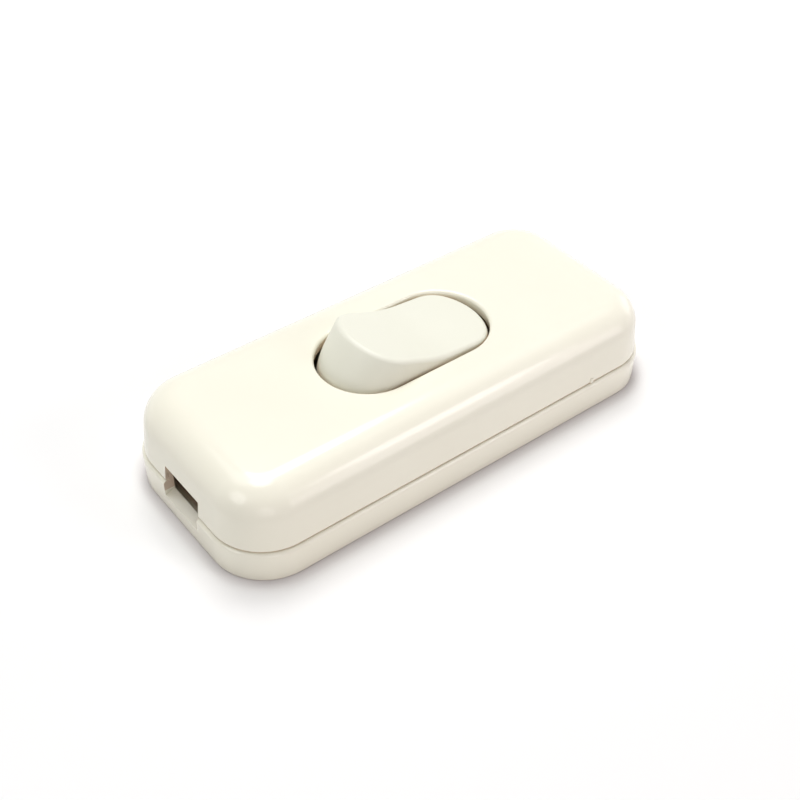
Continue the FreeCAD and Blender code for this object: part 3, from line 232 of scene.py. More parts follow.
upperShell = {
    "base": 4.31 * mm,
    "inset": 0.3 * mm,
    "draft": 6,
    "rounding": 4.15 * mm,
    "wall": 1.3 * mm,
    "roof": 1.5 * mm,
    "lipPlay": 0.05 * mm,
    "edge": 0.15 * mm,
    "edgeSteps": 5,
    "roundSteps": 30,
    "innerSteps": 12,
    "openingLength": 22.88 * mm,
    "openingWidth": 12.3 * mm,
    "openingShift": 0.12 * mm,
    "openingDraft": 6,
    "openingFlat": 0.02 * mm,  # straight left between the end arcs' corners
    "openingSteps": 40,
    "openingRim": 0.5 * mm,
    "openingRimSteps": 8,
    "cheekHalf": 2.6 * mm,
    "cheekBottom": 5 * mm,
    "bossRadius": 2.2 * mm,
    "pilotTop": 9.3 * mm,
    "nibPlace": 19.2 * mm,
    "nibHalf": 0.18 * mm,
    "nibRise": 0.6 * mm,
    "nibStand": 0.09 * mm,
    "nibRoot": 0.45 * mm,
    "slotDepth": 4 * mm,
}


def drafted(start, low, centre, radius, lean):
    # section of a leaning wall that turns into a rounding: inset of the rounding's centre
    return start + (centre - low) * tan(radians(lean)) + radius / cos(radians(lean))


def openingCutter(top, depth):  # stadium prism that narrows upwards
    lean = tan(radians(upperShell["openingDraft"]))
    low, high = top - depth - overshoot, top + overshoot
    grow = (top - low) * lean
    halfLength = upperShell["openingLength"] / 2 + grow
    halfWidth = upperShell["openingWidth"] / 2 + grow

    def stadium(name, facesDown):
        return roundedPlate(name, halfLength, halfWidth, halfWidth - upperShell["openingFlat"], low,
                            upperShell["openingSteps"], facesDown)

    cutter = stadium("openingCutter", False)
    walk((high - low) * lean, high - low)
    closeMesh()
    lid = stadium("openingLid", True)
    closeMesh()
    cutter = welded([cutter, lid])
    cutter.location.x = upperShell["openingShift"]
    settle(cutter)
    return cutter


def makeUpperShell():
    sizes = upperShell
    lean = sizes["draft"]
    base, edge, radius = sizes["base"], sizes["edge"], sizes["rounding"]
    slope = radians(lean)
    edgeInset = drafted(sizes["inset"], base, base + edge, edge, lean)
    # outer skin, from the widest ring up the leaning wall and over the rounding to the flat top
    outer = casePlate("upperShell", edgeInset - edge, base + edge, False)
    walkRound(edge, 0, lean, 1)
    centre = case["top"] - radius
    roundInset = drafted(sizes["inset"], base, centre, radius, lean)
    walk(roundInset - edgeInset - (radius - edge) * cos(slope),
         centre - base - edge + (radius - edge) * sin(slope))
    walkRound(radius, lean, 90, sizes["roundSteps"])
    walk(case["closingRing"], 0)
    closeMesh()
    # inner skin: lower edge, rabbet for the lip, leaning wall, rounding and ceiling
    ceiling = case["top"] - sizes["roof"]
    inner = casePlate("upperInner", edgeInset - edge, base + edge, True)
    walkRound(edge, 0, 90, sizes["edgeSteps"])
    rabbet = case["lipInset"] - sizes["lipPlay"]
    rabbetTop = case["parting"] + case["lipRise"]
    walk(rabbet - edgeInset, 0)
    walk(0, base - rabbetTop)
    wallFoot = sizes["inset"] + sizes["wall"] + (rabbetTop - base) * tan(slope)
    walk(wallFoot - rabbet, 0)
    radius -= sizes["wall"]
    innerCentre = ceiling - radius
    innerInset = drafted(sizes["inset"] + sizes["wall"], base, innerCentre, radius, lean)
    walk(innerInset - radius * cos(slope) - wallFoot, rabbetTop - innerCentre - radius * sin(slope))
    walkRound(radius, lean, 90, sizes["innerSteps"], -1)
    closeMesh()
    shell = welded([outer, inner])
    combined(shell, openingCutter(case["top"], sizes["roof"]), "DIFFERENCE")
    openMesh(shell, "EDGE")
    chooseEdges(lambda edge: all(abs(vert.co.z - case["top"]) < tiny for vert in edge.verts)
                and min(face.normal.z for face in edge.link_faces) < 0.5)  # a steep face on one side
    bpy.ops.mesh.bevel(offset=sizes["openingRim"], segments=sizes["openingRimSteps"], affect="EDGES")
    closeMesh()
    # cheeks that carry the rocker, and screw bosses
    added = []
    for sign in (-1, 1):
        low, high = sorted((sign * case["cheekNear"], sign * case["cheekFar"]))
        added.append(block((-sizes["cheekHalf"], low, sizes["cheekBottom"]),
                           (sizes["cheekHalf"], high, ceiling + sizes["roof"] / 2)))
    for x, y in screwPlaces:
        added.append(rod(x, y, sizes["bossRadius"], case["screwMeet"], ceiling + sizes["roof"] / 4))
    wallFace = case["halfWidth"] - sizes["inset"]
    added.append(block((sizes["nibPlace"] - sizes["nibHalf"], -wallFace - sizes["nibStand"], sizes["base"]),
                       (sizes["nibPlace"] + sizes["nibHalf"], -wallFace + sizes["nibRoot"],
                        sizes["base"] + sizes["nibRise"])))
    combined(shell, joined(added), "UNION")
    # bearings, screw holes and cord slots
    reach = case["cheekFar"] + overshoot
    hole = case["pinHole"]
    cuts = [crossRod(hole, -reach, reach, case["pivot"])]
    for x, y in screwPlaces:
        cuts.append(rod(x, y, case["screwHole"], case["screwMeet"] - overshoot, sizes["pilotTop"]))
    for sign in (-1, 1):
        low, high = slotSpan(sign, sizes["slotDepth"])
        cuts.append(block((low, -case["slotHalf"], case["parting"] - overshoot),
                          (high, case["slotHalf"], case["slotHigh"])))
    combined(shell, joined(cuts), "DIFFERENCE")
    bearingMouths = block((-hole, -reach, case["parting"] - overshoot), (hole, reach, case["pivot"]))
    combined(shell, bearingMouths, "DIFFERENCE")
    smoothed(shell)
    print("upper shell", len(shell.data.polygons), "faces")
    return shell


lowerShell = {
    "draft": 1.2,
    "ledge": 0.5 * mm,
    "ledgeSteps": 12,
    "bottomRounding": 0.2 * mm,
    "bottomSteps": 10,
    "wall": 1.3 * mm,
    "floor": 1.2 * mm,
    "postPlay": 0.15 * mm,
    "stopX": (8.6 * mm, 10.4 * mm),
    "stopY": (3.3 * mm, 4.9 * mm),
    "stopTop": 4.32 * mm,
    "barrierX": (14 * mm, 19.5 * mm),
    "barrierHalf": 0.5 * mm,
    "barrierTop": 6.6 * mm,
    "clampX": 25.6 * mm,
    "clampY": 5.2 * mm,
    "clampPost": 1.5 * mm,
    "clampSeat": 6.2 * mm,
    "clampHole": 0.85 * mm,
    "clampHoleLow": 2.4 * mm,
    "saddleHalf": 0.7 * mm,
    "bossRadius": 3.3 * mm,
    "headHole": 2.4 * mm,
    "headDepth": 1.7 * mm,
    "rootDepth": 0.4 * mm,
    "slotDepth": 2 * mm,
}


def slotCutter(side):  # its floor falls a little towards the outside, where the cord comes in
    low, high = slotSpan(side, lowerShell["slotDepth"])
    cutter = block((low, -case["slotHalf"], case["slotLow"]), (high, case["slotHalf"], case["slotHigh"]))
    for reach in (low, high):
        openMesh(cutter, "EDGE")
        chooseEdges(lambda edge: all(abs(vert.co.x - reach) < tiny and vert.co.z < case["parting"]
                                     for vert in edge.verts))
        bpy.ops.transform.translate(value=(0, 0, (case["halfLength"] - abs(reach)) * case["slotSlope"]))
        closeMesh()
    return cutter


def makeLowerShell():
    sizes = lowerShell
    lean = radians(sizes["draft"])
    ledge = sizes["ledge"]
    ledgeInset = drafted(0, 0, ledge, ledge, sizes["draft"])
    start = ledgeInset - ledge * cos(lean)
    startHeight = case["parting"] - ledge - ledge * sin(lean)
    # from the ledge's outer edge up over the ledge and the lip, then down into the tray
    shell = casePlate("lowerShell", start, startHeight, False)
    walkRound(ledge, -sizes["draft"], 90, sizes["ledgeSteps"])
    walk(case["lipInset"] - ledgeInset, 0)
    walk(0, case["lipRise"])
    walk(sizes["wall"] - case["lipInset"], 0)
    walk(0, sizes["floor"] - case["parting"] - case["lipRise"])
    closeMesh()
    # from the same edge down the leaning wall to the underside
    foot = casePlate("lowerFoot", start, startHeight, True)
    rounding = sizes["bottomRounding"]
    footInset = drafted(0, rounding, case["parting"], rounding, sizes["draft"])
    footMeet = footInset - rounding * cos(lean)
    walk(footMeet - start, startHeight - rounding + rounding * sin(lean))
    walkRound(rounding, sizes["draft"], 90, sizes["bottomSteps"])
    walk(case["closingRing"], 0)
    closeMesh()
    shell = welded([shell, foot])
    # posts, stops, barriers, saddles and screw bosses that rise from the floor
    root = sizes["floor"] - sizes["rootDepth"]
    added = []
    for x, y in screwPlaces:
        added.append(rod(x, y, sizes["bossRadius"], root, case["screwMeet"]))
    for side in (-1, 1):
        half = case["pinHole"] - sizes["postPlay"]
        low, high = sorted((side * case["cheekNear"], side * case["cheekFar"]))
        added.append(block((-half, low, root), (half, high, case["pivot"] - case["pinHole"])))
        low, high = sorted(side * x for x in sizes["barrierX"])
        added.append(block((low, -sizes["barrierHalf"], root),
                           (high, sizes["barrierHalf"], sizes["barrierTop"])))
        middle = side * sizes["clampX"]
        added.append(block((middle - sizes["saddleHalf"], -sizes["clampY"], root),
                           (middle + sizes["saddleHalf"], sizes["clampY"], case["slotLow"])))
        for across in (-1, 1):
            stopLow, stopHigh = sorted(side * x for x in sizes["stopX"])
            near, far = sorted(across * y for y in sizes["stopY"])
            added.append(block((stopLow, near, root), (stopHigh, far, sizes["stopTop"])))
            added.append(rod(middle, across * sizes["clampY"], sizes["clampPost"], root,
                             sizes["clampSeat"]))
    combined(shell, joined(added), "UNION")
    # cord slots and screw holes
    cuts = []
    for side in (-1, 1):
        cuts.append(slotCutter(side))
        for across in (-1, 1):
            cuts.append(rod(side * sizes["clampX"], across * sizes["clampY"], sizes["clampHole"],
                            sizes["clampHoleLow"], sizes["clampSeat"] + overshoot))
    for x, y in screwPlaces:
        cuts.append(rod(x, y, sizes["headHole"], -overshoot, sizes["headDepth"]))
    combined(shell, joined(cuts), "DIFFERENCE")
    shanks = [rod(x, y, case["screwHole"], -overshoot, case["screwMeet"] + overshoot)
              for x, y in screwPlaces]
    combined(shell, joined(shanks), "DIFFERENCE")
    smoothed(shell)
    print("lower shell", len(shell.data.polygons), "faces")
    return shell


rockerKey = {
    "tilt": 13,
    "skirt": (11.6 * mm, 5.98 * mm, 6.05 * mm, 5.6 * mm),  # half length, half width, end radius, corner
    "crown": (9.18 * mm, 5.58 * mm, 7.4 * mm, 3.4 * mm),
    "skirtRise": 0.4 * mm,
    "waistRise": 2.7 * mm,
    "waistRounding": 1.1 * mm,
    "waistSteps": 6,
    "crownRise": 8 * mm,
    "dipRise": 6.08 * mm,
    "dishAngle": 8.7,
    "dishBlend": 14 * mm,
    "dishSteps": 16,
    "rim": 0.55 * mm,
    "rimSteps": 8,
    "rimSlopes": (0.75, 0.9),  # a wall's normal rises less than the first, the dish's more than the second
    "wall": 1.2 * mm,
    "ceiling": 4.7 * mm,
    "turnSteps": 12,
    "bossRadius": 2.3 * mm,
    "bossDrop": 0.6 * mm,
    "bore": 1.55 * mm,
    "boreTop": 4.5 * mm,
    "boreLow": -4 * mm,
    "webHalf": 0.5 * mm,
    "webRise": 0.6 * mm,
    "tongueHalf": 2 * mm,
    "tongueDrop": 1.7 * mm,
    "tongueEdge": 1.3 * mm,
    "tongueSteps": 10,
    "pinRadius": 1.2 * mm,
    "pinReach": 7.9 * mm,
    "smoothAngle": 16,
}


def bendOf(halfLong, halfWide, endRadius, corner):  # where the end arc meets the corner
    across = halfWide - corner
    return atan2(across, sqrt((endRadius - corner) ** 2 - across ** 2))


def startPoint(place):  # a mesh of one selected point, open for extrude and spin
    pickNothing()
    bpy.ops.mesh.primitive_plane_add(size=mm, location=(0, 0, 0))
    piece = bpy.context.object
    openMesh(piece, "VERT")
    bpy.ops.mesh.select_all(action="SELECT")
    bpy.ops.mesh.merge(type="CENTER")
    bpy.ops.transform.translate(value=place)
    return piece


def keyQuarter(halfLong, halfWide, endRadius, corner, height, stops):
    # a quarter of the outline, spun from one point in the same turns for all outlines of a loft
    endX, bend = halfLong - endRadius, bendOf(halfLong, halfWide, endRadius, corner)
    cornerX, cornerY = endX + (endRadius - corner) * cos(bend), halfWide - corner
    chain = startPoint((halfLong, 0, height))
    turned = 0
    for stop in stops:
        onEnd = stop < bend + 1e-4  # stops are rounded
        centre = (endX, 0, height) if onEnd else (cornerX, cornerY, height)
        bpy.ops.mesh.spin(steps=rockerKey["turnSteps"], angle=turned - stop, center=centre, axis=up)
        turned = stop
    drawOut((-cornerX, 0, 0))
    closeMesh()
    return chain


def lofted(name, outlines):
    # a quarter of the walls between the outlines, mirrored both ways and capped
    stops = sorted({round(bendOf(*outline[:4]), 6) for outline in outlines} | {pi / 2})
    piece = joined([keyQuarter(*outline, stops) for outline in outlines])
    piece.name = name
    levels = sorted(outline[-1] for outline in outlines)
    openMesh(piece, "EDGE")
    for low, high in zip(levels, levels[1:]):
        chooseEdges(lambda edge: len(edge.link_faces) < 2
                    and abs(edge.verts[0].co.z - edge.verts[1].co.z) < tiny
                    and min(abs(edge.verts[0].co.z - low), abs(edge.verts[0].co.z - high)) < tiny)
        bpy.ops.mesh.bridge_edge_loops()
    closeMesh()
    mirror = piece.modifiers.new("fourfold", "MIRROR")
    mirror.use_axis = (True, True, False)
    mirror.merge_threshold = tiny
    bpy.ops.object.modifier_apply(modifier=mirror.name)
    openMesh(piece, "EDGE")
    for level in (levels[0], levels[-1]):
        chooseEdges(lambda edge: all(abs(vert.co.z - level) < tiny for vert in edge.verts))
        bpy.ops.mesh.edge_face_add()
    bpy.ops.mesh.select_all(action="SELECT")
    bpy.ops.mesh.normals_make_consistent(inside=False)
    closeMesh()
    return piece


def dishCutter():
    # section of the finger dish, spun and drawn out, then pushed across the key
    lean = radians(rockerKey["dishAngle"])
    blend = rockerKey["dishBlend"]
    halfWide = 2 * rockerKey["skirt"][1]
    centre = rockerKey["dipRise"] + blend
    cutter = startPoint((-blend * sin(lean), -halfWide, centre - blend * cos(lean)))
    bpy.ops.mesh.spin(steps=rockerKey["dishSteps"], angle=2 * lean, center=(0, -halfWide, centre),
                      axis=(0, 1, 0))
    run, rise = rockerKey["skirt"][0], rockerKey["crownRise"]
    drawOut((run, 0, run * tan(lean)))
    drawOut((0, 0, rise))
    drawOut((-2 * run - 2 * blend * sin(lean), 0, 0))
    drawOut((0, 0, -rise))
    bpy.ops.mesh.select_all(action="SELECT")
    bpy.ops.mesh.edge_face_add()
    drawOut((0, 2 * halfWide, 0))
    bpy.ops.mesh.select_all(action="SELECT")
    bpy.ops.mesh.normals_make_consistent(inside=False)
    closeMesh()
    return cutter


def makeRockerKey():
    sizes = rockerKey
    key = lofted("rockerKey", [(*sizes["skirt"], sizes["skirtRise"]), (*sizes["skirt"], sizes["waistRise"]),
                               (*sizes["crown"], sizes["crownRise"])])
    openMesh(key, "EDGE")
    chooseEdges(lambda edge: all(abs(vert.co.z - sizes["waistRise"]) < tiny for vert in edge.verts))
    bpy.ops.mesh.bevel(offset=sizes["waistRounding"], segments=sizes["waistSteps"], affect="EDGES")
    closeMesh()
    combined(key, dishCutter(), "DIFFERENCE")
    openMesh(key, "EDGE")

    def onRim(edge):  # between the dish and the leaning walls
        if len(edge.link_faces) != 2:
            return False
        steep = sorted(face.normal.z for face in edge.link_faces)
        wallMost, dishLeast = sizes["rimSlopes"]
        return steep[0] < wallMost and steep[1] > dishLeast and edge.verts[0].co.z > sizes["waistRise"]

    chooseEdges(onRim)
    bpy.ops.mesh.bevel(offset=sizes["rim"], offset_type="OFFSET", segments=sizes["rimSteps"], profile=0.5,
                       affect="EDGES", clamp_overlap=False)
    closeMesh()
    # hollow underside
    share = (sizes["ceiling"] - sizes["waistRise"]) / (sizes["crownRise"] - sizes["waistRise"])
    wall = sizes["wall"]
    mouth = [size - wall for size in sizes["skirt"]]
    narrow = [a + (b - a) * share - wall for a, b in zip(sizes["skirt"], sizes["crown"])]
    hollow = lofted("hollow", [(*mouth, sizes["skirtRise"] - overshoot), (*mouth, sizes["waistRise"]),
                               (*narrow, sizes["ceiling"])])
    combined(key, hollow, "DIFFERENCE")
    # web, plunger boss, tongues and trunnions
    added = [block((-sizes["webHalf"], -mouth[1] - wall / 2, sizes["webRise"]),
                   (sizes["webHalf"], mouth[1] + wall / 2, sizes["ceiling"] + wall / 2)),
             rod(0, 0, sizes["bossRadius"], -sizes["bossDrop"], sizes["ceiling"] + wall / 2)]
    for sign in (-1, 1):
        low, high = sorted((sign * mouth[1], sign * sizes["skirt"][1]))
        tongue = block((-sizes["tongueHalf"], low, -sizes["tongueDrop"]),
                       (sizes["tongueHalf"], high, sizes["waistRise"] - wall))
        openMesh(tongue, "EDGE")
        chooseEdges(lambda edge: all(vert.co.z < 0 for vert in edge.verts)
                    and abs(edge.verts[0].co.x - edge.verts[1].co.x) < tiny)
        bpy.ops.mesh.bevel(offset=sizes["tongueEdge"], segments=sizes["tongueSteps"], affect="EDGES")
        closeMesh()
        added.append(tongue)
        near, far = sorted((sign * (mouth[1] + wall / 4), sign * sizes["pinReach"]))
        added.append(crossRod(sizes["pinRadius"], near, far, 0))
    combined(key, joined(added), "UNION")
    combined(key, rod(0, 0, sizes["bore"], sizes["boreLow"], sizes["boreTop"]), "DIFFERENCE")
    smoothed(key, sizes["smoothAngle"])
    key.rotation_euler.y = radians(sizes["tilt"])
    key.location.z = case["pivot"]
    settle(key)
    print("rocker key", len(key.data.polygons), "faces")
    return key


def makePlungerSpring():
    # the imported spring again, with its points merged, as a piece of its own; the real spring shortens when
    # the plunger goes in
    spring = bpy.data.objects.new("plungerSpring", frame["nodes"]["plunger_spring"].data.copy())
    bpy.context.scene.collection.objects.link(spring)
    mergeDoubles(spring)
    print("plunger spring", len(spring.data.polygons), "faces")
    return spring


def shortenSpring(spring):
    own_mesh(spring)


# Finishes

def newFinish(name):
    finish = bpy.data.materials.new(name)
    finish.use_nodes = True
    nodes = finish.node_tree.nodes
    return finish, nodes, finish.node_tree.links, nodes["Principled BSDF"]


def spread(nodes, links, value, given, wanted=(0, 1)):  # a value's range goes over to another one
    step = nodes.new("ShaderNodeMapRange")
    for socket, level in zip(("From Min", "From Max", "To Min", "To Max"), (*given, *wanted)):
        step.inputs[socket].default_value = level
    links.new(value, step.inputs["Value"])
    return step.outputs["Result"]


def ramped(nodes, links, value, stops):  # colors at places between 0 and 1
    ramp = nodes.new("ShaderNodeValToRGB")
    elements = ramp.color_ramp.elements
    elements.remove(elements[1])
    for index, (place, color) in enumerate(stops):
        stop = elements.new(place) if index else elements[0]
        stop.position = place
        stop.color = (*color, 1)
    links.new(value, ramp.inputs["Fac"])
    return ramp.outputs["Color"]


def mixedColor(nodes, links, share, first, second):  # each color a socket or three numbers
    mix = nodes.new("ShaderNodeMix")
    mix.data_type = "RGBA"
    links.new(share, mix.inputs["Factor"])
    for socket, color in (("A", first), ("B", second)):
        if isinstance(color, tuple):
            mix.inputs[socket].default_value = (*color, 1)
        else:
            links.new(color, mix.inputs[socket])
    return mix.outputs["Result"]


occlusionSamples = 8


def occlusion(nodes, reach):  # 1 in the open, less in crevices
    node = nodes.new("ShaderNodeAmbientOcclusion")
    node.samples = occlusionSamples
    node.inputs["Distance"].default_value = reach
    return node.outputs["AO"]


def bumped(nodes, links, height, strength, depth):
    bump = nodes.new("ShaderNodeBump")
    bump.inputs["Strength"].default_value = strength
    bump.inputs["Distance"].default_value = depth
    links.new(height, bump.inputs["Height"])
    return bump.outputs["Normal"]


def noise(nodes, links, place, detail):
    texture = nodes.new("ShaderNodeTexNoise")
    texture.inputs["Detail"].default_value = detail
    links.new(place, texture.inputs["Vector"])
    return texture


mouldTexture = {
    "grainDetail": 3,
    "waveDetail": 2,
    "driftDetail": 4,
    "driftScale": 60,
}


def mouldGroup():
    # fine texture of a moulding tool, slow waves of shrinkage and drifting color
    group = bpy.data.node_groups.new("mouldedSurface", "ShaderNodeTree")
    face = group.interface
    face.new_socket("Vector", in_out="INPUT", socket_type="NodeSocketVector")
    for name in ("Grain Scale", "Wave Scale", "Wave Share"):
        face.new_socket(name, in_out="INPUT", socket_type="NodeSocketFloat")
    for name in ("Tone", "Dullness", "Height"):
        face.new_socket(name, in_out="OUTPUT", socket_type="NodeSocketFloat")
    nodes, links = group.nodes, group.links
    given = nodes.new("NodeGroupInput")
    result = nodes.new("NodeGroupOutput")
    grain = noise(nodes, links, given.outputs["Vector"], mouldTexture["grainDetail"])
    wave = noise(nodes, links, given.outputs["Vector"], mouldTexture["waveDetail"])
    drift = noise(nodes, links, given.outputs["Vector"], mouldTexture["driftDetail"])
    links.new(given.outputs["Grain Scale"], grain.inputs["Scale"])
    links.new(given.outputs["Wave Scale"], wave.inputs["Scale"])
    drift.inputs["Scale"].default_value = mouldTexture["driftScale"]
    blend = nodes.new("ShaderNodeMix")
    links.new(given.outputs["Wave Share"], blend.inputs["Factor"])
    links.new(grain.outputs["Fac"], blend.inputs["A"])
    links.new(wave.outputs["Fac"], blend.inputs["B"])
    links.new(drift.outputs["Fac"], result.inputs["Tone"])
    links.new(grain.outputs["Fac"], result.inputs["Dullness"])
    links.new(blend.outputs["Result"], result.inputs["Height"])
    return group


# boxes where painted shade goes inside the housing and on the slot walls
insideShadeBoxes = {  # for each axis: middle, half width where the fall begins, half width where it ends
    "inside": {
        "X": (0, 28.3 * mm, 28.9 * mm),
        "Y": (0, 6.9 * mm, 7.5 * mm),
        "Z": (5.5 * mm, 4.5 * mm, 4.9 * mm),
    },
    "slots": {
        "X": (0, 31.2 * mm, 31.4 * mm),
        "Y": (0, 3.48 * mm, 3.56 * mm),
        "Z": (4.6 * mm, 1.75 * mm, 1.85 * mm),
    },
}


def insideShadeGroup():
    # mask of painted shade: 1 inside the closed housing and on the side walls of its slots, 0 on its outer
    # faces
    group = bpy.data.node_groups.new("shadeInsideHousing", "ShaderNodeTree")
    group.interface.new_socket("Vector", in_out="INPUT", socket_type="NodeSocketVector")
    group.interface.new_socket("Mask", in_out="OUTPUT", socket_type="NodeSocketFloat")
    nodes, links = group.nodes, group.links
    given = nodes.new("NodeGroupInput")
    result = nodes.new("NodeGroupOutput")
    split = nodes.new("ShaderNodeSeparateXYZ")
    links.new(given.outputs["Vector"], split.inputs["Vector"])

    def reckon(operation, first, second=None):
        step = nodes.new("ShaderNodeMath")
        step.operation = operation
        links.new(first, step.inputs[0])
        if second is not None:
            links.new(second, step.inputs[1])
        return step

    masks = []
    for box in insideShadeBoxes.values():
        falls = []
        for axis, (middle, near, far) in box.items():
            away = reckon("SUBTRACT", split.outputs[axis])
            away.inputs[1].default_value = middle
            distance = reckon("ABSOLUTE", away.outputs["Value"]).outputs["Value"]
            falls.append(spread(nodes, links, distance, (near, far), (1, 0)))
        across = reckon("MULTIPLY", falls[0], falls[1])
        masks.append(reckon("MULTIPLY", across.outputs["Value"], falls[2]).outputs["Value"])
    links.new(reckon("MAXIMUM", *masks).outputs["Value"], result.inputs["Mask"])
    return group


def ivoryFinish(name, mould, look, hollow=None):
    finish, nodes, links, shader = newFinish(name)
    place = nodes.new("ShaderNodeTexCoord")
    surface = nodes.new("ShaderNodeGroup")
    surface.node_tree = mould
    surface.inputs["Grain Scale"].default_value = look["grainScale"]
    surface.inputs["Wave Scale"].default_value = look["waveScale"]
    surface.inputs["Wave Share"].default_value = look["waveShare"]
    links.new(place.outputs["Object"], surface.inputs["Vector"])
    color = ramped(nodes, links, surface.outputs["Tone"], look["tones"])
    # painted shade: crevices, gaps and the parting groove are darker and browner, following ambient occlusion
    openness = spread(nodes, links, occlusion(nodes, look["paintedShadeReach"]), look["paintedShadeRange"])
    color = mixedColor(nodes, links, openness, look["paintedCreviceShade"], color)
    # painted shade inside the housing and on the side walls of its slots
    if hollow:
        inside = nodes.new("ShaderNodeGroup")
        inside.node_tree = hollow
        links.new(place.outputs["Object"], inside.inputs["Vector"])
        color = mixedColor(nodes, links, inside.outputs["Mask"], color, look["hollow"])
    links.new(color, shader.inputs["Base Color"])
    dullness = spread(nodes, links, surface.outputs["Dullness"], (0, 1), look["gloss"])
    links.new(dullness, shader.inputs["Roughness"])
    normal = bumped(nodes, links, surface.outputs["Height"], look["bump"], look["bumpDepth"])
    links.new(normal, shader.inputs["Normal"])
    return finish


shellLook = {
    "tones": ((0.3, (0.868, 0.84, 0.71)), (0.7, (0.885, 0.86, 0.735))),
    "grainScale": 2600,
    "waveScale": 420,
    "waveShare": 0.55,
    "gloss": (0.13, 0.21),
    # painted shade colour inside the housing and on the slot walls
    "hollow": (0.62, 0.46, 0.34),
    # painted shade for crevices, gaps and the groove: its colour, occlusion reach and range
    "paintedCreviceShade": (0.72, 0.5, 0.34),
    "paintedShadeReach": 1.2 * mm,
    "paintedShadeRange": (0.02, 0.34),
    "bump": 0.12,
    "bumpDepth": 0.02 * mm,
}

rockerLook = {
    "tones": ((0.3, (0.775, 0.77, 0.66)), (0.7, (0.79, 0.787, 0.68))),
    "grainScale": 3400,
    "waveScale": 700,
    "waveShare": 0.3,
    "gloss": (0.4, 0.5),
    # painted shade for crevices and gaps: its colour, occlusion reach and range
    "paintedCreviceShade": (0.72, 0.5, 0.34),
    "paintedShadeReach": 1.2 * mm,
    "paintedShadeRange": (0.02, 0.34),
    "bump": 0.15,
    "bumpDepth": 0.02 * mm,
}


metalLooks = {
    "brass": {"tones": ((0.35, (0.6, 0.41, 0.15)), (0.65, (0.72, 0.52, 0.22))), "gloss": (0.25, 0.4),
              "lines": (300, 4000, 4000), "spotScale": 500},
    "contact_silver": {"tones": ((0.35, (0.66, 0.65, 0.62)), (0.65, (0.82, 0.81, 0.79))), "gloss": (0.2, 0.4),
                       "lines": (2500, 2500, 2500), "spotScale": 900},
    "spring_steel": {"tones": ((0.35, (0.5, 0.5, 0.51)), (0.65, (0.6, 0.6, 0.61))), "gloss": (0.25, 0.35),
                     "lines": (1500, 1500, 6000), "spotScale": 1200},
    "screw_steel": {"tones": ((0.35, (0.52, 0.52, 0.52)), (0.65, (0.68, 0.68, 0.69))), "gloss": (0.28, 0.45),
                    "lines": (1800, 1800, 5000), "spotScale": 700},
}
metalTexture = {
    "lineDetail": 3,
    "spotDetail": 5,
    "bump": 0.2,
    "bumpDepth": 0.01 * mm,
}


def metalFinish(name, look):
    # plated or stamped metal: fine drawn lines, spots of tarnish
    finish, nodes, links, shader = newFinish(name)
    place = nodes.new("ShaderNodeTexCoord")
    stretch = nodes.new("ShaderNodeMapping")
    stretch.inputs["Scale"].default_value = look["lines"]
    links.new(place.outputs["Object"], stretch.inputs["Vector"])
    lines = noise(nodes, links, stretch.outputs["Vector"], metalTexture["lineDetail"])
    lines.inputs["Scale"].default_value = 1
    spots = noise(nodes, links, place.outputs["Object"], metalTexture["spotDetail"])
    spots.inputs["Scale"].default_value = look["spotScale"]
    links.new(ramped(nodes, links, spots.outputs["Fac"], look["tones"]), shader.inputs["Base Color"])
    links.new(spread(nodes, links, lines.outputs["Fac"], (0, 1), look["gloss"]), shader.inputs["Roughness"])
    normal = bumped(nodes, links, lines.outputs["Fac"], metalTexture["bump"], metalTexture["bumpDepth"])
    links.new(normal, shader.inputs["Normal"])
    shader.inputs["Metallic"].default_value = 1
    return finish


def dressInside(mould):
    # what stays as it came: each node takes the finish of its own slot
    finishes = {slot: metalFinish(slot, look) for slot, look in metalLooks.items()}
    for slot in ("plunger_plastic", "clamp_plastic"):
        finishes[slot] = ivoryFinish(slot, mould, rockerLook)
    for row in frame["record"]["subparts"]:
        if row["material_slot"] in finishes:
            for holder in frame["nodes"][row["node"]].material_slots:
                holder.material = finishes[row["material_slot"]]
    return finishes


def dress(piece, finish, body, node):
    piece.data.materials.clear()
    piece.data.materials.append(finish)
    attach(piece, body)
    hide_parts(node)


mould = mouldGroup()
insideFinishes = dressInside(mould)
shellIvory = ivoryFinish("ivory_shell", mould, shellLook, insideShadeGroup())
rockerIvory = ivoryFinish("ivory_rocker", mould, rockerLook)
print("finishes made")
dress(makeUpperShell(), shellIvory, "housing", "upper_housing")
dress(makeLowerShell(), shellIvory, "housing", "lower_housing")
dress(makeRockerKey(), rockerIvory, "rocker", "rocker")
spring = makePlungerSpring()
dress(spring, insideFinishes["spring_steel"], "rocker", "plunger_spring")
shortenSpring(spring)


# Stage: pale floor, white surroundings, soft light

stage = {
    "floorHalf": 1.5,
    "floorTones": (  # contact shadow, a pale ring round it, the plain floor
        (0, (0.62, 0.595, 0.6)),
        (0.7, (0.67, 0.645, 0.645)),
        (0.92, (0.84, 0.83, 0.825)),
        (0.999, (1, 1, 1)),
        (1, (0.86, 0.855, 0.85)),
    ),
    "floorReach": 2 * mm,
    "floorGlow": (0.05, 1),  # near the part and far from it
    "glowRise": (0.12, 0.32),
    "worldLight": 0.15,
}


def seenAsWhite(nodes, links):  # 1 for what the camera, a gloss or a clear body looks at
    path = nodes.new("ShaderNodeLightPath")
    total = path.outputs["Is Camera Ray"]
    for ray in ("Is Glossy Ray", "Is Transmission Ray"):
        either = nodes.new("ShaderNodeMath")
        either.operation = "MAXIMUM"
        links.new(total, either.inputs[0])
        links.new(path.outputs[ray], either.inputs[1])
        total = either.outputs["Value"]
    return total


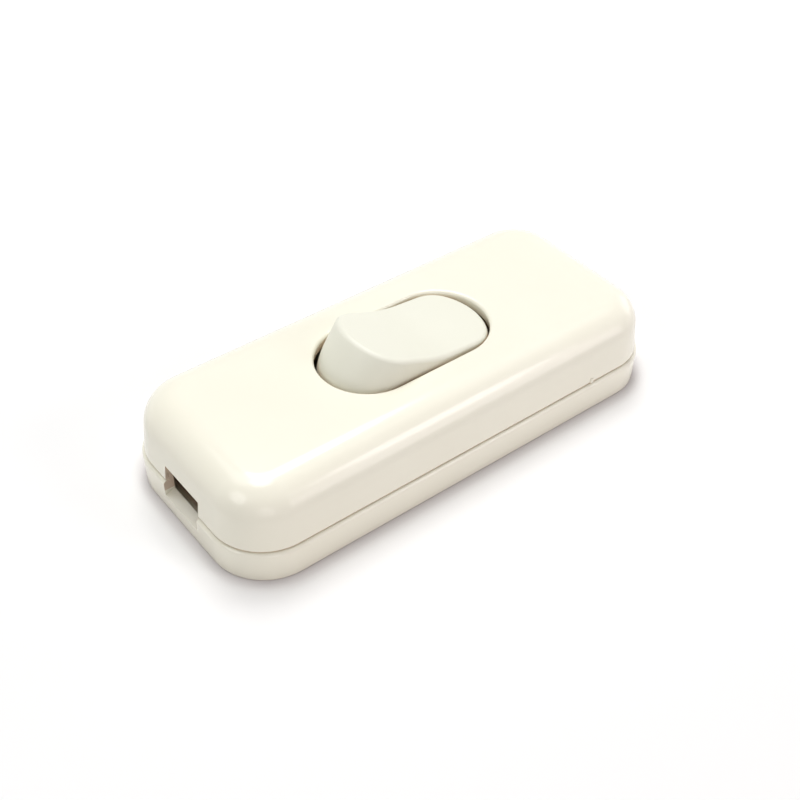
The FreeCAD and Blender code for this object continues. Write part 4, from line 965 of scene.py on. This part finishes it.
def makeFloor():
    pickNothing()
    bpy.ops.mesh.primitive_plane_add(size=2 * stage["floorHalf"], location=(0, 0, 0))
    floor = bpy.context.object
    floor.name = "floor"
    finish, nodes, links, shader = newFinish("paleFloor")
    # painted contact shadow: ambient occlusion darkens the floor round the part's foot
    closeness = occlusion(nodes, stage["floorReach"])  # darker where the part stands on it
    links.new(ramped(nodes, links, closeness, stage["floorTones"]), shader.inputs["Base Color"])
    shader.inputs["Roughness"].default_value = 1
    shader.inputs["Specular IOR Level"].default_value = 0
    shader.inputs["Emission Color"].default_value = (1, 1, 1, 1)
    spot = nodes.new("ShaderNodeTexCoord")
    away = nodes.new("ShaderNodeVectorMath")
    away.operation = "LENGTH"
    links.new(spot.outputs["Object"], away.inputs[0])
    # the far floor goes over into the white surroundings
    rise = spread(nodes, links, away.outputs["Value"], stage["glowRise"], stage["floorGlow"])
    glow = nodes.new("ShaderNodeMath")
    glow.operation = "MULTIPLY"
    links.new(seenAsWhite(nodes, links), glow.inputs[0])
    links.new(rise, glow.inputs[1])
    links.new(glow.outputs["Value"], shader.inputs["Emission Strength"])
    floor.data.materials.append(finish)


def makeSurroundings():
    world = bpy.data.worlds.new("studio")
    bpy.context.scene.world = world
    world.use_nodes = True
    nodes, links = world.node_tree.nodes, world.node_tree.links
    sky = nodes["Background"]
    sky.inputs["Color"].default_value = (1, 1, 1, 1)
    level = spread(nodes, links, seenAsWhite(nodes, links), (0, 1), (stage["worldLight"], 1))
    links.new(level, sky.inputs["Strength"])


lampDistance = 0.6
lamps = {  # heading and height in degrees, heading counted from +X towards +Y
    "keyBehind": {"heading": 57, "height": 63, "power": 1.6, "size": 0.26},
    "overhead": {"heading": 90, "height": 82, "power": 0.95, "size": 0.26},
    "behindLeft": {"heading": 120, "height": 62, "power": 0.44, "size": 0.32},
    "highRight": {"heading": 0, "height": 62, "power": 0.2, "size": 0.32},
    "leftFill": {"heading": 180, "height": 34, "power": 0.64, "size": 0.32},
    "frontStrip": {"heading": 302, "height": 29, "power": 0.44, "size": 0.17, "color": (1, 0.93, 0.95)},
    "frontRightLow": {"heading": 300, "height": 10, "power": 0.64, "size": 0.32, "color": (1, 0.91, 0.93)},
    "frontLeftLow": {"heading": 240, "height": 10, "power": 0.42, "size": 0.32, "color": (1, 0.91, 0.93)},
    "rightLow": {"heading": 0, "height": 10, "power": 0.34, "size": 0.32},
}


def makeLamps():
    for name, look in lamps.items():
        turn, rise = radians(look["heading"]), radians(look["height"])
        lamp = bpy.data.lights.new(name, "AREA")
        lamp.shape = "DISK"
        lamp.size = look["size"]
        lamp.energy = look["power"]
        lamp.color = look.get("color", (1, 1, 1))
        holder = bpy.data.objects.new(name, lamp)
        holder.location = Vector((cos(turn) * cos(rise), sin(turn) * cos(rise), sin(rise))) * lampDistance
        holder.rotation_euler = (-holder.location).to_track_quat("-Z", "Y").to_euler()
        bpy.context.scene.collection.objects.link(holder)


shot = {
    "azimuth": -38.59,
    "elevation": 41.89,
    "roll": 1.05,
    "target": (0.11 * mm, 0.39 * mm, 1.92 * mm),
    "distance": 150.76 * mm,
    "lens": 55.07,
    "sensor": 36,
}


def makeCamera():
    turn, rise, roll = (radians(shot[key]) for key in ("azimuth", "elevation", "roll"))
    back = Vector((sin(turn) * cos(rise), -cos(turn) * cos(rise), sin(rise)))
    right = Vector((cos(turn), sin(turn), 0))
    above = back.cross(right)
    right, above = right * cos(roll) + above * sin(roll), above * cos(roll) - right * sin(roll)
    camera = bpy.data.cameras.new("camera")
    camera.lens = shot["lens"]
    camera.sensor_width = shot["sensor"]
    camera.clip_start = mm
    holder = bpy.data.objects.new("camera", camera)
    axes = Matrix((right, above, back)).transposed().to_4x4()
    holder.matrix_world = Matrix.Translation(Vector(shot["target"]) + back * shot["distance"]) @ axes
    bpy.context.scene.collection.objects.link(holder)
    bpy.context.scene.camera = holder


makeFloor()
makeSurroundings()
makeLamps()
makeCamera()
bpy.context.scene.view_settings.view_transform = "Standard"
pickNothing()
print("stage, lamps and camera set")
